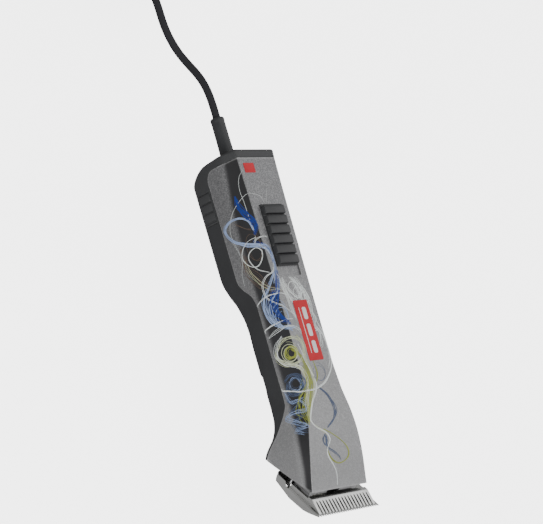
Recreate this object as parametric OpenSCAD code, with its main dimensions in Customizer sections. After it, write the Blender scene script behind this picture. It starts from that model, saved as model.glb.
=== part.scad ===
// Mains hair clipper with a detachable blade set, lying on its back.
// Built with the blade tips at y = 0 and the cap end at y = body_length, resting on z = 0,
// then moved back by half its length so that its origin is the middle of its base.

/* [Body] */
// Length from the blade tips to the end of the cap
body_length = 204; // [196:1:214]
// Half of the width of the flat front face at the cap
face_half_width = 15; // [14:0.5:17]
// Half of the width across the sides of the handle
side_half_width = 20.5; // [20:0.25:22]
// Height of the front face above the resting plane
body_height = 33.7; // [33:0.1:37]
// Wall of the shells
wall = 2; // [1.6:0.1:2.2]
// Height of the joint between the shells at the waist
waist_joint_height = 22; // [20:0.5:23]
// Height of the rear face under the waist
waist_rear_height = 9.2; // [7.5:0.1:9.4]

/* [Blade set] */
// Width of the comb blade
blade_width = 50; // [48.8:0.2:54]
// Teeth of the comb blade
comb_teeth = 27; // [21:1:29]
// Teeth of the cutter blade
cutter_teeth = 18; // [14:1:20]
// Angle between the blade plane and the handle
blade_angle = 39.4; // [38:0.2:41]
// Travel of the cutter to each side
cutter_travel = 1.5; // [1.2:0.05:1.7]
// Gap between the cutter and what it slides on
cutter_gap = 0.06; // [0.04:0.01:0.12]

/* [Switch and buttons] */
// Length of the switch slider
slider_length = 35; // [29:0.5:37]
// Width of the switch slider
slider_width = 16.8; // [14:0.2:18]
// Travel of the switch slider
slider_travel = 5.5; // [4:0.25:6]
// Travel of each release button
button_travel = 1.5; // [1:0.1:1.8]

/* [Motor] */
// Radius of the motor can
motor_radius = 9.5; // [8.5:0.1:9.6]
// Length of the motor can
motor_length = 38; // [34:0.5:42]
// Radius of the motor shaft
shaft_radius = 1; // [0.8:0.05:1.2]

/* [Cord] */
// Radius of the cord
cord_radius = 2.25; // [2:0.05:2.4]
// Length of the strain relief
relief_length = 27.5; // [24:0.5:32]

/* [Hidden] */
$fn = 48;

// Fits
run_gap = 0.05;     // round parts that turn in a bore
fit_gap = 0.15;     // parts that slide in a slot
free_gap = 0.3;     // moving parts that pass each other
seat_gap = 0.02;    // faces of one body that lie on each other

// Stations along the handle, measured from the cap end where they belong to the handle
cap_y = body_length;
cap_band = 5;                       // width of the cap's band on the front face
shell_end_y = cap_y - cap_band;     // end of the front shell
module_y = cap_y - 34.5;            // joint between rear shell and power module
heel_y = 38.5;                      // front edge of the rear shell
cut_top = [12.1, 26.5];             // y and z of the slanted cut at the front face
cut_slope = 44.5;                   // angle of that cut
handle_shift = body_length - 204;   // what a longer handle adds behind the head

// Outline of the handle: [y, value] at a few stations, joined smoothly
face_z = [[0, 22.5], [14, 25.4], [33, 30.1], [48, 32.7], [62, 33.7], [204, 33.7]];
face_w = [[0, 22.6], [14, 22.2], [33, 20.9], [50, 18.2], [66, 14.4], [84, 13.2], [110, 13.3],
    [157, 14], [198, 15], [204, 15.4]];
side_w = [[0, 24], [30, 24], [40, 23.6], [52, 21.4], [66, 20.5], [120, 20.5], [204, 20.9]];
bevel_z = [[0, 15], [14, 18.5], [29, 22.2], [46, 24.4], [62, 23.9], [110, 23], [172, 22.8],
    [184, 23.7], [196, 25.2], [204, 26]];
joint_z = [[30, 0.2], [35.6, 0.4], [51, 13.2], [58.5, 19.5], [63, 21.8], [70, 22], [117, 22],
    [123, 20.6], [130, 15], [134, 13.1], [138, 12.9], [204, 12.9]];
rear_z = [[0, 0], [38.5, 0.1], [49, 8], [54, 9.2], [106, 9.2], [112, 8.8], [122, 6.4],
    [130, 2.7], [138, 0.2], [142, 0], [204, 0]];

// A table's value at y, eased between its stations
function span_of(t, y, i = 0) = i >= len(t) - 2 || y < t[i + 1][0] ? i : span_of(t, y, i + 1);
function slope_at(t, i) =
    i <= 0 || i >= len(t) - 1 ? 0
    : let(a = (t[i][1] - t[i - 1][1]) / (t[i][0] - t[i - 1][0]),
          b = (t[i + 1][1] - t[i][1]) / (t[i + 1][0] - t[i][0]))
      a * b <= 0 ? 0 : 2 * a * b / (a + b);
function eased(t, y) =
    let(i = span_of(t, y), h = t[i + 1][0] - t[i][0],
        u = min(1, max(0, (y - t[i][0]) / h)),
        m = slope_at(t, i) * h, n = slope_at(t, i + 1) * h)
    t[i][1] * (1 - u) * (1 - u) * (1 + 2 * u) + t[i + 1][1] * u * u * (3 - 2 * u)
    + m * u * (1 - u) * (1 - u) - n * u * u * (1 - u);
// Stations behind the head move with the handle's length
function station(y) = y < 66 ? y : y < 66 + handle_shift ? 66 : y - handle_shift;
function at(t, y) = eased(t, station(y));

function face_height(y) = at(face_z, y) + body_height - 33.7;
function face_half(y) = at(face_w, y) + face_half_width - 15;
function side_half(y) = at(side_w, y) + side_half_width - 20.5;
function bevel_height(y) = at(bevel_z, y) + body_height - 33.7;
function waist_share(y) = min(1, at(rear_z, y) / 9.2);
function joint_height(y) = at(joint_z, y) + (waist_joint_height - 22) * waist_share(y);
function rear_height(y) = at(rear_z, y) * (waist_rear_height / 9.2);

// Half of the front shell's outline, from the joint up to the front face, set in by d
function front_half(y, d) = [
    [side_half(y) - d, joint_height(y)],
    [side_half(y) - d, max(joint_height(y) + 0.2, bevel_height(y) - d * 0.4)],
    [face_half(y) - d * 0.6, face_height(y) - d]];
function mirrored(points) = [for (p = points) [-p[0], p[1]]];
function backwards(points) = [for (i = [len(points) - 1:-1:0]) points[i]];
function flip(points) = backwards(mirrored(points));
function front_ring(y) = concat(front_half(y, 0), flip(front_half(y, 0)),
    mirrored(front_half(y, wall)), backwards(front_half(y, wall)));

// Half of the rear shell's outline, from the joint down to the rear face
rear_corner = 4;
function rear_half(y, d) =
    let(w = side_half(y) - d, low = rear_height(y) + d, high = joint_height(y) - seat_gap,
        c = min(rear_corner, (high - low) * 0.45))
    [[w, high], [w, low + c], [w - c * 0.3, low + c * 0.3], [w - c, low]];
function trough(outer, inner) = concat(
    mirrored(outer), backwards(outer), inner, backwards(mirrored(inner)));
function rear_ring(y) = trough(rear_half(y, 0), rear_half(y, wall));

// A closed skin through equal rings of points, each counter-clockwise seen from the blade end.
// A ring's second half faces its first half, so that strips between them close the two ends.
module skin(rings) {
    n = len(rings[0]);
    last = len(rings) - 1;
    polyhedron(
        points = [for (ring = rings) each ring],
        faces = concat(
            [for (i = [0:n / 2 - 2]) [n - 1 - i, n - 2 - i, i + 1, i]],
            [for (r = [0:last - 1], i = [0:n - 1])
                [r * n + i, r * n + (i + 1) % n, (r + 1) * n + (i + 1) % n, (r + 1) * n + i]],
            [for (i = [0:n / 2 - 2]) [for (k = [i, i + 1, n - 2 - i, n - 1 - i]) last * n + k]]),
        convexity = 8);
}
// Both shells have their rings at the same places, so that their joint meets all along
rear_stations = steps(heel_y, module_y - seat_gap, 40);
front_stations = concat(steps(8, heel_y - 3, 8), rear_stations, steps(module_y + 4, shell_end_y, 4));
function upright(ring, y) = [for (p = ring) [p[0], y, p[1]]];
function steps(from, to, count) = [for (i = [0:count]) from + (to - from) * i / count];

// Moves the blade end to the front half of the row frame
module placed() translate([0, -body_length / 2, 0]) children();
// Blade coordinates: x across, y from the tips to the rear, z out of the comb towards the head
module on_blade() translate([0, 0, 26.6]) rotate([-blade_angle, 0, 0]) children();
module profile_x(points, width) rotate([90, 0, 90]) linear_extrude(width, center = true)
    polygon(points);
module rod_x(r, length) rotate([0, 90, 0]) cylinder(r = r, h = length, center = true);
module rod_y(r, from, to) translate([0, from, 0]) rotate([-90, 0, 0])
    cylinder(r = r, h = to - from);

// Everything in front of the slanted cut of the head
module head_cut() translate([0, cut_top[0], cut_top[1]]) rotate([-cut_slope, 0, 0])
    translate([-40, -60, -60]) cube([80, 120, 60]);

// Places that several parts share
axis_z = 21.45;                      // height of the motor's axis
pivot_y = 40;                        // lever pivot
fork_arm = 18;                       // from the pivot to the drive roller
finger_arm = 20.7;                   // from the pivot to the finger's middle in the cutter
throw = fork_arm * cutter_travel / finger_arm;
roller_radius = 1.5;
fork_half = roller_radius + 2 * throw + free_gap;
motor_y = 68;
motor_end_y = motor_y + motor_length;
slot_top_y = cap_y - 45.6;           // rear end of the slot under the slider
slider_y = cap_y - 32.7;             // rear end of the slider
label_size = [11.2, 34];
label_y = 99.2;
emblem_size = [8.2, 5.6];
button_size = [17, 9];               // along y and along z
button_at = [cap_y - 25, 7.4];
window_inset = 0.5;                  // of the windows' middles from the sides of the handle
window_depth = 8;
hinge_at = [36, 6];                  // y and z of the blade hinge
waist_screw_x = side_half_width - 5.3;
rear_screw_x = side_half_width - 4.5;
screw_spots = [[waist_screw_x, 64.5], [-waist_screw_x, 64.5], [rear_screw_x, 112 + handle_shift],
    [-rear_screw_x, 112 + handle_shift]];
screw_core = 1.4;

module front_shell() color("dimgray") placed() difference() {
    union() {
        difference() {
            skin([for (y = front_stations) upright(front_ring(y), y)]);
            head_cut();
        }
        for (s = screw_spots) front_boss(s);
    }
    // Pocket and slot of the slider
    translate([-slider_width / 2 - 0.4, slider_y - slider_length - slider_travel - 0.4,
        body_height - 0.8])
        cube([slider_width + 0.8, slider_length + slider_travel + 0.8, 5]);
    translate([-4, slot_top_y - 10.4 - slider_travel, body_height - 8])
        cube([8, 10.8 + slider_travel, 10]);
    for (s = screw_spots) translate([s[0], s[1], waist_joint_height - 1])
        cylinder(r = screw_core + run_gap, h = 5.5);
}
module front_boss(s) translate([s[0], s[1], waist_joint_height + seat_gap]) difference() {
    cylinder(r = 2.9, h = bevel_height(s[1]) - waist_joint_height + 1.5);
    translate([s[0] > 0 ? side_half(s[1]) - s[0] - 0.5 : -5 - side_half(s[1]) - s[0] + 0.5, -5, -1])
        cube([5, 10, 20]);
}

module rear_shell() color("#303234") placed() difference() {
    union() {
        skin([for (y = rear_stations) upright(rear_ring(y), y)]);
        for (s = screw_spots) rear_boss(s);
    }
    for (s = screw_spots) translate([s[0], s[1], rear_height(s[1])]) {
        translate([0, 0, -5]) cylinder(r = screw_core + run_gap, h = 30);
        translate([0, 0, -10]) cylinder(r = 2.6, h = 12.5);
    }
}
module rear_boss(s) translate([s[0], s[1], rear_height(s[1]) + 0.6]) difference() {
    cylinder(r = 3.4, h = joint_height(s[1] - 3) - rear_height(s[1]) - 0.6 - seat_gap);
    translate([s[0] > 0 ? side_half(s[1]) - s[0] - 0.5 : -5 - side_half(s[1]) - s[0] + 0.5, -5, -1])
        cube([5, 10, 30]);
}

// Power module: an end plate behind the front shell over a trough with the release buttons
module_top = 12.9 - seat_gap;
plate_y = shell_end_y + seat_gap;
module_floor_y = cap_y - 9;
// The cap's end face leans back towards the rear
function end_lean(z) = z > 26 ? (33.7 - z) * 0.12 : z > 14 ? 0.92 + (26 - z) * 0.07
    : 1.76 + (14 - z) * 0.3;
function low_half(y) = let(w = side_half(y)) [[w - rear_corner, 0],
    [w - rear_corner * 0.3, rear_corner * 0.3], [w, rear_corner], [w, module_top]];
function high_half(y) =
    [[side_half(y), module_top], [side_half(y), bevel_height(y)], [face_half(y), face_height(y)]];
function closed(half) = concat(half, flip(half));
// Two rings that round the end off: one a little way in, one smaller at the very end
function end_ring(ring, back, share) = [for (p = ring)
    [p[0] * share, cap_y - end_lean(p[1]) - back, p[1]]];
module capped(rings, last) skin(concat(rings, [end_ring(last, 1.2, 1), end_ring(last, 0, 0.95)]));
module end_cap() color("#3a3c3e") placed() difference() {
    union() {
        capped([for (y = steps(module_y, module_floor_y, 6)) upright(closed(low_half(y)), y)],
            closed(low_half(cap_y)));
        capped([upright(closed(high_half(plate_y)), plate_y)], closed(high_half(cap_y)));
    }
    // Inside of the trough
    translate([0, module_y - 1, 0]) rotate([90, 0, 180])
        linear_extrude(module_floor_y - module_y)
            polygon(trough_inside(side_half(module_y) - wall));
    // Hollow for the cord
    translate([0, 0, exit_z]) rod_y(3.2, cap_y - 10, cap_y + 2);
    translate([0, 0, exit_z]) rod_y(5.1, cap_y - 10, cap_y - 5.1);
    // Windows of the release buttons
    for (s = [-1, 1]) translate([s * (side_half_width - window_inset), button_at[0], button_at[1]])
        cube([window_depth, button_size[0], button_size[1]], center = true);
}
function trough_inside(w) = closed([[w - rear_corner, wall],
    [w - rear_corner * 0.3, rear_corner * 0.3 + wall], [w, rear_corner + wall], [w, 20]]);

// A blank plate on the front face; its corners are cut round
module plate(w, l, h, r) linear_extrude(h) {
    square([w - 2 * r, l], center = true);
    square([w, l - 2 * r], center = true);
    for (x = [-1, 1], y = [-1, 1]) translate([x * (w / 2 - r), y * (l / 2 - r)]) circle(r);
}
module label_plate() color("#d7283a") placed()
    translate([1, label_y + handle_shift * 0.5, body_height + seat_gap])
        plate(label_size[0], label_size[1], 0.3, 0.5);
module emblem_plate() color("#d7283a") placed()
    translate([-7.9, cap_y - 11, body_height + seat_gap])
        plate(emblem_size[0], emblem_size[1], 0.25, 0.4);

// Switch
slider_base = 0.7;
rib_count = 6;
module switch_slider() color("#46484a") placed() translate([0, slider_y - slider_length, 0]) {
    translate([-slider_width / 2, 0, body_height - 0.5])
        cube([slider_width, slider_length, slider_base + 0.8]);
    for (i = [0:rib_count - 1])
        translate([-slider_width / 2 + 0.5, 0.6 + i * (slider_length - 0.6) / rib_count,
            body_height + slider_base])
            cube([slider_width - 1, (slider_length - 0.6) / rib_count - 0.9, 1.9]);
    translate([-4 + fit_gap, slot_top_y - 10 - slider_y + slider_length, body_height - 4])
        cube([8 - 2 * fit_gap, 10, 4]);
}
module switch_link() color("#d8d8d0") placed()
    translate([0, slot_top_y - 10, body_height - 5.4 - seat_gap]) {
        translate([-7, -2, 0]) cube([14, 14, 1.4]);
        translate([-1.2, 4, -2.2]) cube([2.4, 2.4, 2.4]);
    }
board_z = 22.6;
board_y = cap_y - 82;
module slide_switch() color("#2a2a2e") placed() {
    difference() {
        translate([-5, slot_top_y - 13.5, board_z + 1.6 + seat_gap])
            cube([10, 17, body_height - 5.4 - board_z - 1.6 - free_gap - seat_gap]);
        translate([-1.5, slot_top_y - 6.3 - slider_travel, body_height - 8.4])
            cube([3, 3.2 + slider_travel, 10]);
    }
}

// Release buttons: ribbed pads in the cap's sides, each with a leaf spring behind it
pad_depth = 2.9;
flange_back = wall + 1.3;
module release_button(s) placed() translate([0, button_at[0], button_at[1]]) {
    pad = [button_size[0] - 2 * fit_gap, button_size[1] - 2 * fit_gap];
    face = side_half(button_at[0]);
    translate([s > 0 ? face - pad_depth : -face + 0.1, -pad[0] / 2, -pad[1] / 2])
        cube([pad_depth - 0.1, pad[0], pad[1]]);
    // Flange behind the window
    translate([s > 0 ? face - flange_back : -face + wall + 0.1, -pad[0] / 2 - 1, -1.2])
        cube([flange_back - wall - 0.1, pad[0] + 2, 6]);
    for (i = [-1:1]) translate([s > 0 ? face - 0.1 : -face - 0.75, i * 5.4 - 2.3, -pad[1] / 2 + 0.3])
        cube([0.85, 4.6, pad[1] - 0.6]);
}
module release_button_left() color("#333537") release_button(-1);
module release_button_right() color("#333537") release_button(1);
module button_spring(s) placed() translate([0, button_at[0], button_at[1]]) {
    face = side_half(button_at[0]);
    x = face - flange_back - seat_gap;
    translate([s > 0 ? x - 0.4 : -x, -5, -2.5]) cube([0.4, 10, 5]);
    for (e = [-1, 1]) translate([s > 0 ? x - 1.4 : -x, e * 4.8 - 0.2, -2.5]) cube([1.4, 0.4, 5]);
}
module button_spring_left() color("silver") button_spring(-1);
module button_spring_right() color("silver") button_spring(1);

// Drive frame: front plate of the motor, floor under the lever, ears of the hinge, board posts
ear_x = 11.5;
ear_w = 2;
floor_z = waist_rear_height + wall + 0.05;
module drive_frame() color("#8a8d90") placed() difference() {
    union() {
        // Floor with the boss of the lever's pivot
        translate([-11.4, 46, floor_z]) cube([22.8, motor_y - 46, 1.6]);
        translate([-6, 36, floor_z]) cube([12, 12, 1.6]);
        translate([0, pivot_y, floor_z + 1]) cylinder(r = 3, h = axis_z - 3.2 - floor_z - 1);
        // Motor plate
        translate([-11.4, motor_y - 2, floor_z]) cube([22.8, 2 - seat_gap, 20]);
        // Cradle under the motor
        for (x = [-9.5, 7.5]) translate([x, motor_y - 2, floor_z]) cube([2, motor_length, 2.6]);
        // Ears of the blade hinge
        for (x = [-ear_x - ear_w, ear_x]) translate([x + ear_w / 2, 0, 0])
            profile_x([[33.6, 5], [36, 3.5], [38.6, 3.9], [46, 9.6], [52, floor_z + 0.8],
                [52, floor_z + 1.6], [44, 14], [36, 9.6], [33.6, 8]], ear_w);
        for (x = [-12.4, 12.4]) translate([x - 1.1, 46, floor_z]) cube([2.2, 8, 1.6]);
    }
    translate([0, 0, axis_z]) rod_y(6, motor_y - 5, motor_y + 1);
    translate([0, 0, axis_z]) rod_y(motor_radius + 0.02, motor_y, motor_end_y);
    translate([0, pivot_y, floor_z - 2]) cylinder(r = 1.5, h = 20);
    translate([0, hinge_at[0], hinge_at[1]]) rod_x(1.25, 40);
}

module motor_can() color("#b4b6ba") placed() translate([0, 0, axis_z]) difference() {
    union() {
        rod_y(motor_radius, motor_y, motor_end_y);
        rod_y(3.2, motor_y - 1.6, motor_y + 1);
    }
    rod_y(shaft_radius + run_gap, motor_y - 3, motor_end_y + 1);
}
module motor_end_bell() color("#22262a") placed() translate([0, 0, axis_z]) difference() {
    union() {
        rod_y(motor_radius - 0.4, motor_end_y + seat_gap, motor_end_y + 4);
        for (x = [-5, 5]) translate([x - 1, motor_end_y + 3, -0.4]) cube([2, 5, 0.8]);
    }
    rod_y(shaft_radius + run_gap, motor_end_y - 1, motor_end_y + 2.5);
}
module motor_shaft() color("silver") placed() translate([0, 0, axis_z])
    rod_y(shaft_radius, motor_y - 6, motor_end_y + 2);
module eccentric_cam() color("#c8a860") placed() translate([0, 0, axis_z]) difference() {
    union() {
        rod_y(4.6, motor_y - 6, motor_y - 2.6);
        // Counterweight below the roller
        intersection() {
            rod_y(5.6, motor_y - 6, motor_y - 2.6);
            translate([-6, motor_y - 6, -6]) cube([12, 4, 5]);
        }
        translate([0, 0, throw]) rod_y(0.9, motor_y - 12.6, motor_y - 5.5);
    }
    rod_y(shaft_radius, motor_y - 6 - 0.01, motor_y);
}
module drive_roller() color("#6f7376") placed() translate([0, 0, axis_z + throw]) difference() {
    rod_y(roller_radius, motor_y - 12.4, motor_y - 6.3);
    rod_y(0.9 + run_gap, motor_y - 13, motor_y - 6);
}

finger_from = [23.4, 20.4];          // y and z where the finger leaves the lever
finger_length = 7.9;
module drive_lever() color("#e4e4dc") placed() difference() {
    union() {
        translate([0, pivot_y, axis_z - 3]) cylinder(r = 4, h = 6);
        translate([-2.5, 23, axis_z - 2.2]) cube([5, pivot_y - 23, 4.2]);
        translate([-3, pivot_y, axis_z - 2.2]) cube([6, 12.4, 4.4]);
        translate([-fork_half - 2, pivot_y + 11.4, axis_z - 3.6]) cube([2 * fork_half + 4, 2.6, 7.2]);
        for (x = [-fork_half - 2, fork_half])
            translate([x, pivot_y + 11.4, axis_z - 3.6]) cube([2, 9.6, 7.2]);
        translate([0, finger_from[0], finger_from[1]]) rotate([180 - blade_angle, 0, 0])
            cylinder(r = 1.5, h = finger_length);
    }
    translate([0, pivot_y, axis_z - 10]) cylinder(r = 1.5 + run_gap, h = 20);
}
module lever_pivot_pin() color("silver") placed() translate([0, pivot_y, 0]) {
    translate([0, 0, floor_z]) cylinder(r = 1.5, h = axis_z + 3.2 - floor_z);
    translate([0, 0, axis_z + 3.1]) cylinder(r = 2.6, h = 0.8);
}

// Blade set, in blade coordinates
comb_line = [[0, 0.05], [10.3, 0.56], [26.6, 1.2], [28.4, 3.4], [37, 3.6], [36.2, 0],
    [21.9, -3.2], [10.9, -3.1], [6.9, -2.2]];
comb_pitch = blade_width / comb_teeth;
module comb_blade() color("silver") placed() on_blade() difference() {
    profile_x(comb_line, blade_width);
    for (i = [1:comb_teeth - 1]) translate([i * comb_pitch - blade_width / 2 - 0.4, -1, -4])
        cube([0.8, 8.6, 6]);
    // Rounded rear corners and the two threaded holes
    for (x = [-1, 1]) translate([x * (blade_width / 2 + 0.01), 38, -6]) rotate([0, 0, 45])
        cube([6, 6, 20], center = true);
    for (x = [-5, 5]) translate([x, 32, -5]) cylinder(r = 1.2 + run_gap, h = 12);
}
cutter_width = blade_width - 2 * cutter_travel - 1.2;
cutter_line = [[1.6, 0.14 + cutter_gap], [10.3, 0.56 + cutter_gap], [26, 1.19 + cutter_gap],
    [26, 3.3], [12.6, 3.3], [12, 4.2], [9.8, 4.2], [3, 1.2], [1.6, 0.6]];
cutter_pitch = cutter_width / cutter_teeth;
module cutter_blade() color("#d0d2d4") placed() on_blade() difference() {
    profile_x(cutter_line, cutter_width);
    for (i = [1:cutter_teeth - 1])
        translate([i * cutter_pitch - cutter_width / 2 - 0.6, 0, -2]) cube([1.2, 8.6, 8]);
    translate([-1.5 - fit_gap, 18.6, 1.7]) cube([3 + 2 * fit_gap, 7, 4]);
}
module tension_spring() color("#a8aaac") placed() on_blade() difference() {
    union() {
        profile_x([[15, 3.3 + cutter_gap], [27, 3.3 + cutter_gap], [28.6, 3.5], [36, 3.6 + seat_gap],
            [36, 4.2], [28, 4.15], [26, 4], [15, 4]], 38);
        for (x = [-17.5, 17.5]) translate([x - 1.5, 15, 3.3 + cutter_gap]) cube([3, 6, 1.4]);
    }
    translate([-5, 14, 0]) cube([10, 13.4, 8]);
    for (x = [-5, 5]) translate([x, 32, -5]) cylinder(r = 1.2 + run_gap, h = 12);
}
module blade_socket() color("#9fa1a4") placed() on_blade() difference() {
    union() {
        translate([-10, 28.4, 4.2 + seat_gap]) cube([20, 7.8, 0.8]);
        for (s = [-1, 1]) translate([s > 0 ? 8.2 : -9.8, 28.4, 4.3]) cube([1.6, 7.8, 3.2]);
        for (s = [-1, 1]) translate([s > 0 ? 5.5 : -9.8, 28.4, 6.75]) cube([4.3, 6.8, 0.8]);
    }
    for (x = [-5, 5]) translate([x, 32, -5]) cylinder(r = 1.2 + run_gap, h = 12);
}
module blade_screws() color("#88898c") placed() on_blade()
    for (x = [-5, 5]) translate([x, 32, 0]) {
        translate([0, 0, -1]) cylinder(r = 1.2, h = 6.0);
        translate([0, 0, 5.0 + seat_gap * 2]) cylinder(r = 2.1, h = 0.55);
    }
tongue_z = 5.65;
module hinge_tongue() color("#b8babd") placed() difference() {
    union() {
        on_blade() difference() {
            translate([-8, 28.6, tongue_z]) cube([16, 11, 1]);
        }
        translate([0, hinge_at[0], hinge_at[1]]) rod_x(2.2, 2 * ear_x - 0.4);
    }
    translate([0, hinge_at[0], hinge_at[1]]) rod_x(1.25 + run_gap, 40);
}
module hinge_pin() color("silver") placed() translate([0, hinge_at[0], hinge_at[1]])
    rod_x(1.25, 2 * (ear_x + ear_w) + 1);
module latch_spring() color("#a4a6a8") placed()
    translate([0, 0, floor_z - seat_gap]) {
        translate([-3, 39.2, -0.6]) cube([6, 8, 0.6]);
        translate([-3, 39.2, -2.6]) cube([6, 0.6, 2.2]);
    }

// Electronics
module circuit_board() color("#1f5a3c") placed() translate([-15, board_y, board_z])
    cube([30, 60, 1.6]);
module transformer() color("#7a5a3a") placed() translate([0, board_y + 44, 0]) {
    translate([-9, -9, board_z - 13 - seat_gap]) cube([18, 18, 13]);
    translate([-7, -11, board_z - 11]) cube([14, 22, 9]);
}
module capacitors() color("#2c3c6c") placed() for (p = [[-8, 10, 4.6, 15], [5, 10, 4.6, 15],
    [-8, 22, 3.2, 9], [6, 22, 3.2, 9]])
    translate([p[0], board_y + p[1], board_z - p[3] - seat_gap])
        cylinder(r = p[2], h = p[3]);
// Two leads from the board's underside to the motor's tags
module motor_leads() color("#b03030") placed() for (x = [-5, 5]) {
    translate([x, motor_end_y + 8 + seat_gap, axis_z - 0.6])
        cube([1.2, board_y + 3 - motor_end_y - 8, 1.1]);
}

module housing_screws() color("#3c3e40") placed() for (s = screw_spots)
    translate([s[0], s[1], rear_height(s[1])]) {
        translate([0, 0, 0.6]) cylinder(r = 2.4, h = 1.9 - seat_gap);
        translate([0, 0, 2]) cylinder(r = screw_core, h = waist_joint_height - rear_height(s[1]) + 2);
    }

// Strain relief: a short flange inside the cap, a taper and a rounded end
exit_z = 14;
relief_end = cap_y + relief_length - 1.5;
module strain_relief() color("#202224") placed() translate([0, 0, exit_z]) rotate([-90, 0, 0])
    rotate_extrude() polygon([[0, cap_y - 7], [5, cap_y - 7], [5, cap_y - 5.2], [3.15, cap_y - 5.2],
        [3.15, cap_y - 1.6], [4.3, cap_y - 1.6], [3.75, relief_end - 1], [3.2, relief_end], [0, relief_end]]);

// Cord: straight out of the relief, down to the table, in an S and on to the coil
cord_route = [[0, 230, 14], [0, 236, 14], [0, 244, 13.6], [0, 251, 12.3], [-0.2, 257, 10.2],
    [-0.6, 262, 7.8], [-1.2, 266, 5.8], [-2.2, 271, 3.8], [-3.6, 276, 2.5], [-5.4, 281, 2.3],
    [-7, 286, 2.3], [-7.9, 292, 2.3], [-8.1, 298, 2.3], [-8.16, 304, 2.3], [-8.97, 310, 2.3],
    [-10.54, 316, 2.3], [-12.6, 322, 2.39], [-14.93, 328, 2.59], [-17.25, 334, 2.8],
    [-19.31, 340, 2.94], [-21.07, 347, 2.95], [-21.75, 354, 2.95]];
tail_route = [[-3.75, 326.72, 15.8], [-10.27, 331.73, 17], [-15.29, 338.25, 18.5],
    [-17.09, 342.59, 19.6], [-17.7, 347.25, 20.7], [-17.09, 351.91, 21.8], [-15.29, 356.25, 22.8],
    [-12.43, 359.98, 23.7], [-8.7, 362.84, 24.4], [-4.36, 364.64, 24.84], [0.3, 365.25, 25],
    [4, 365.25, 25]];
coil_at = [12, 354];
coil_inner = 18;
coil_outer = 36;
coil_base = 0.7;
coil_height = 17;

function minus(a, b) = [for (i = [0:2]) a[i] - b[i]];
function unit(v) = v / norm(v);
function heading(p, i) = unit(minus(p[min(i + 1, len(p) - 1)], p[max(i - 1, 0)]));
// Ring of a tube around point i, level across the route
function tube_ring(p, i, r, sides) =
    let(h = heading(p, i), across = unit(cross(h, [0, 0, 1])), up = cross(across, h))
    [for (k = [0:sides - 1]) p[i] + r * (cos(360 * (k + 0.5) / sides) * across
        + sin(360 * (k + 0.5) / sides) * up)];
module tube(p, r, sides = 8) skin([for (i = [0:len(p) - 1]) tube_ring(p, i, r, sides)]);

cord_shift = [0, handle_shift + relief_length - 27.5, 0];
module cord() color("#1c1e20") placed() translate(cord_shift) tube(cord_route, cord_radius);
module cord_coil() color("#1c1e20") placed() translate(cord_shift)
    translate([coil_at[0], coil_at[1], coil_base])
        rotate_extrude() translate([coil_inner, 0])
            square([coil_outer - coil_inner, coil_height]);
module cord_tail() color("#1c1e20") placed() translate(cord_shift) tube(tail_route, cord_radius);
// A strap around the coil's section
module cord_tie() color("#101010") placed() translate(cord_shift)
    translate([coil_at[0], coil_at[1], 0]) rotate([0, 0, -60]) difference() {
        translate([coil_inner - 0.8, -5, 0])
            cube([coil_outer - coil_inner + 1.6, 10, coil_base + coil_height + 0.7]);
        translate([0, 0, coil_base - seat_gap]) rotate_extrude() translate([coil_inner - seat_gap, 0])
            square([coil_outer - coil_inner + 2 * seat_gap, coil_height + 2 * seat_gap]);
    }

// Flat two-pin plug
plug_at = [0.5, 365.25];
plug_z = 25;                        // the plug lies on the coil
plug_length = 36;
plug_face = plug_length + 0.5;
pin_spacing = 18.6;
pin_radius = 2;
pin_length = 19;
pin_root = 1.6;
pin_inset = 7;
module plug() color("#1c1e20") placed() translate(cord_shift)
    translate([plug_at[0], plug_at[1], plug_z]) difference() {
        union() {
            rotate([0, 90, 0]) cylinder(r1 = 3.2, r2 = 5, h = 12);
            hull() {
                translate([9, 0, 0]) cube([1, 12, 9], center = true);
                translate([20, 0, 0]) cube([1, 26, 13.6], center = true);
                translate([plug_length, 0, 0]) cube([1, 35, 13.6], center = true);
            }
        }
        for (s = [-1, 1]) translate([plug_face - pin_inset, s * pin_spacing / 2, 0])
            rotate([0, 90, 0]) cylinder(r = pin_root, h = 20);
    }
module plug_pins() color("silver") placed() translate(cord_shift)
    translate([plug_at[0], plug_at[1], plug_z]) 
        for (s = [-1, 1]) translate([plug_face, s * pin_spacing / 2, 0]) rotate([0, 90, 0]) {
            cylinder(r = pin_radius, h = pin_length);
            translate([0, 0, -pin_inset]) cylinder(r = pin_root, h = pin_inset + 1);
        }

front_shell();
rear_shell();
end_cap();
label_plate();
emblem_plate();
switch_slider();
switch_link();
slide_switch();
release_button_left();
release_button_right();
button_spring_left();
button_spring_right();
drive_frame();
motor_can();
motor_end_bell();
motor_shaft();
eccentric_cam();
drive_roller();
drive_lever();
lever_pivot_pin();
comb_blade();
cutter_blade();
tension_spring();
blade_socket();
blade_screws();
hinge_tongue();
hinge_pin();
latch_spring();
circuit_board();
transformer();
capacitors();
motor_leads();
housing_screws();
strain_relief();
cord();
cord_coil();
cord_tie();
cord_tail();
plug();
plug_pins();
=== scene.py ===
"""Mains hair clipper with a detachable blade set, lying on its back beside its coiled cord.

Every piece is made by its own operator. Sizes inside the functions are in millimetres, measured
from the blade tips (y = 0) to the end of the cap, and place() moves them onto the frame.
"""

import math

import bmesh
import bpy
import numpy as np
from mathutils import Matrix, Vector


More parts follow.
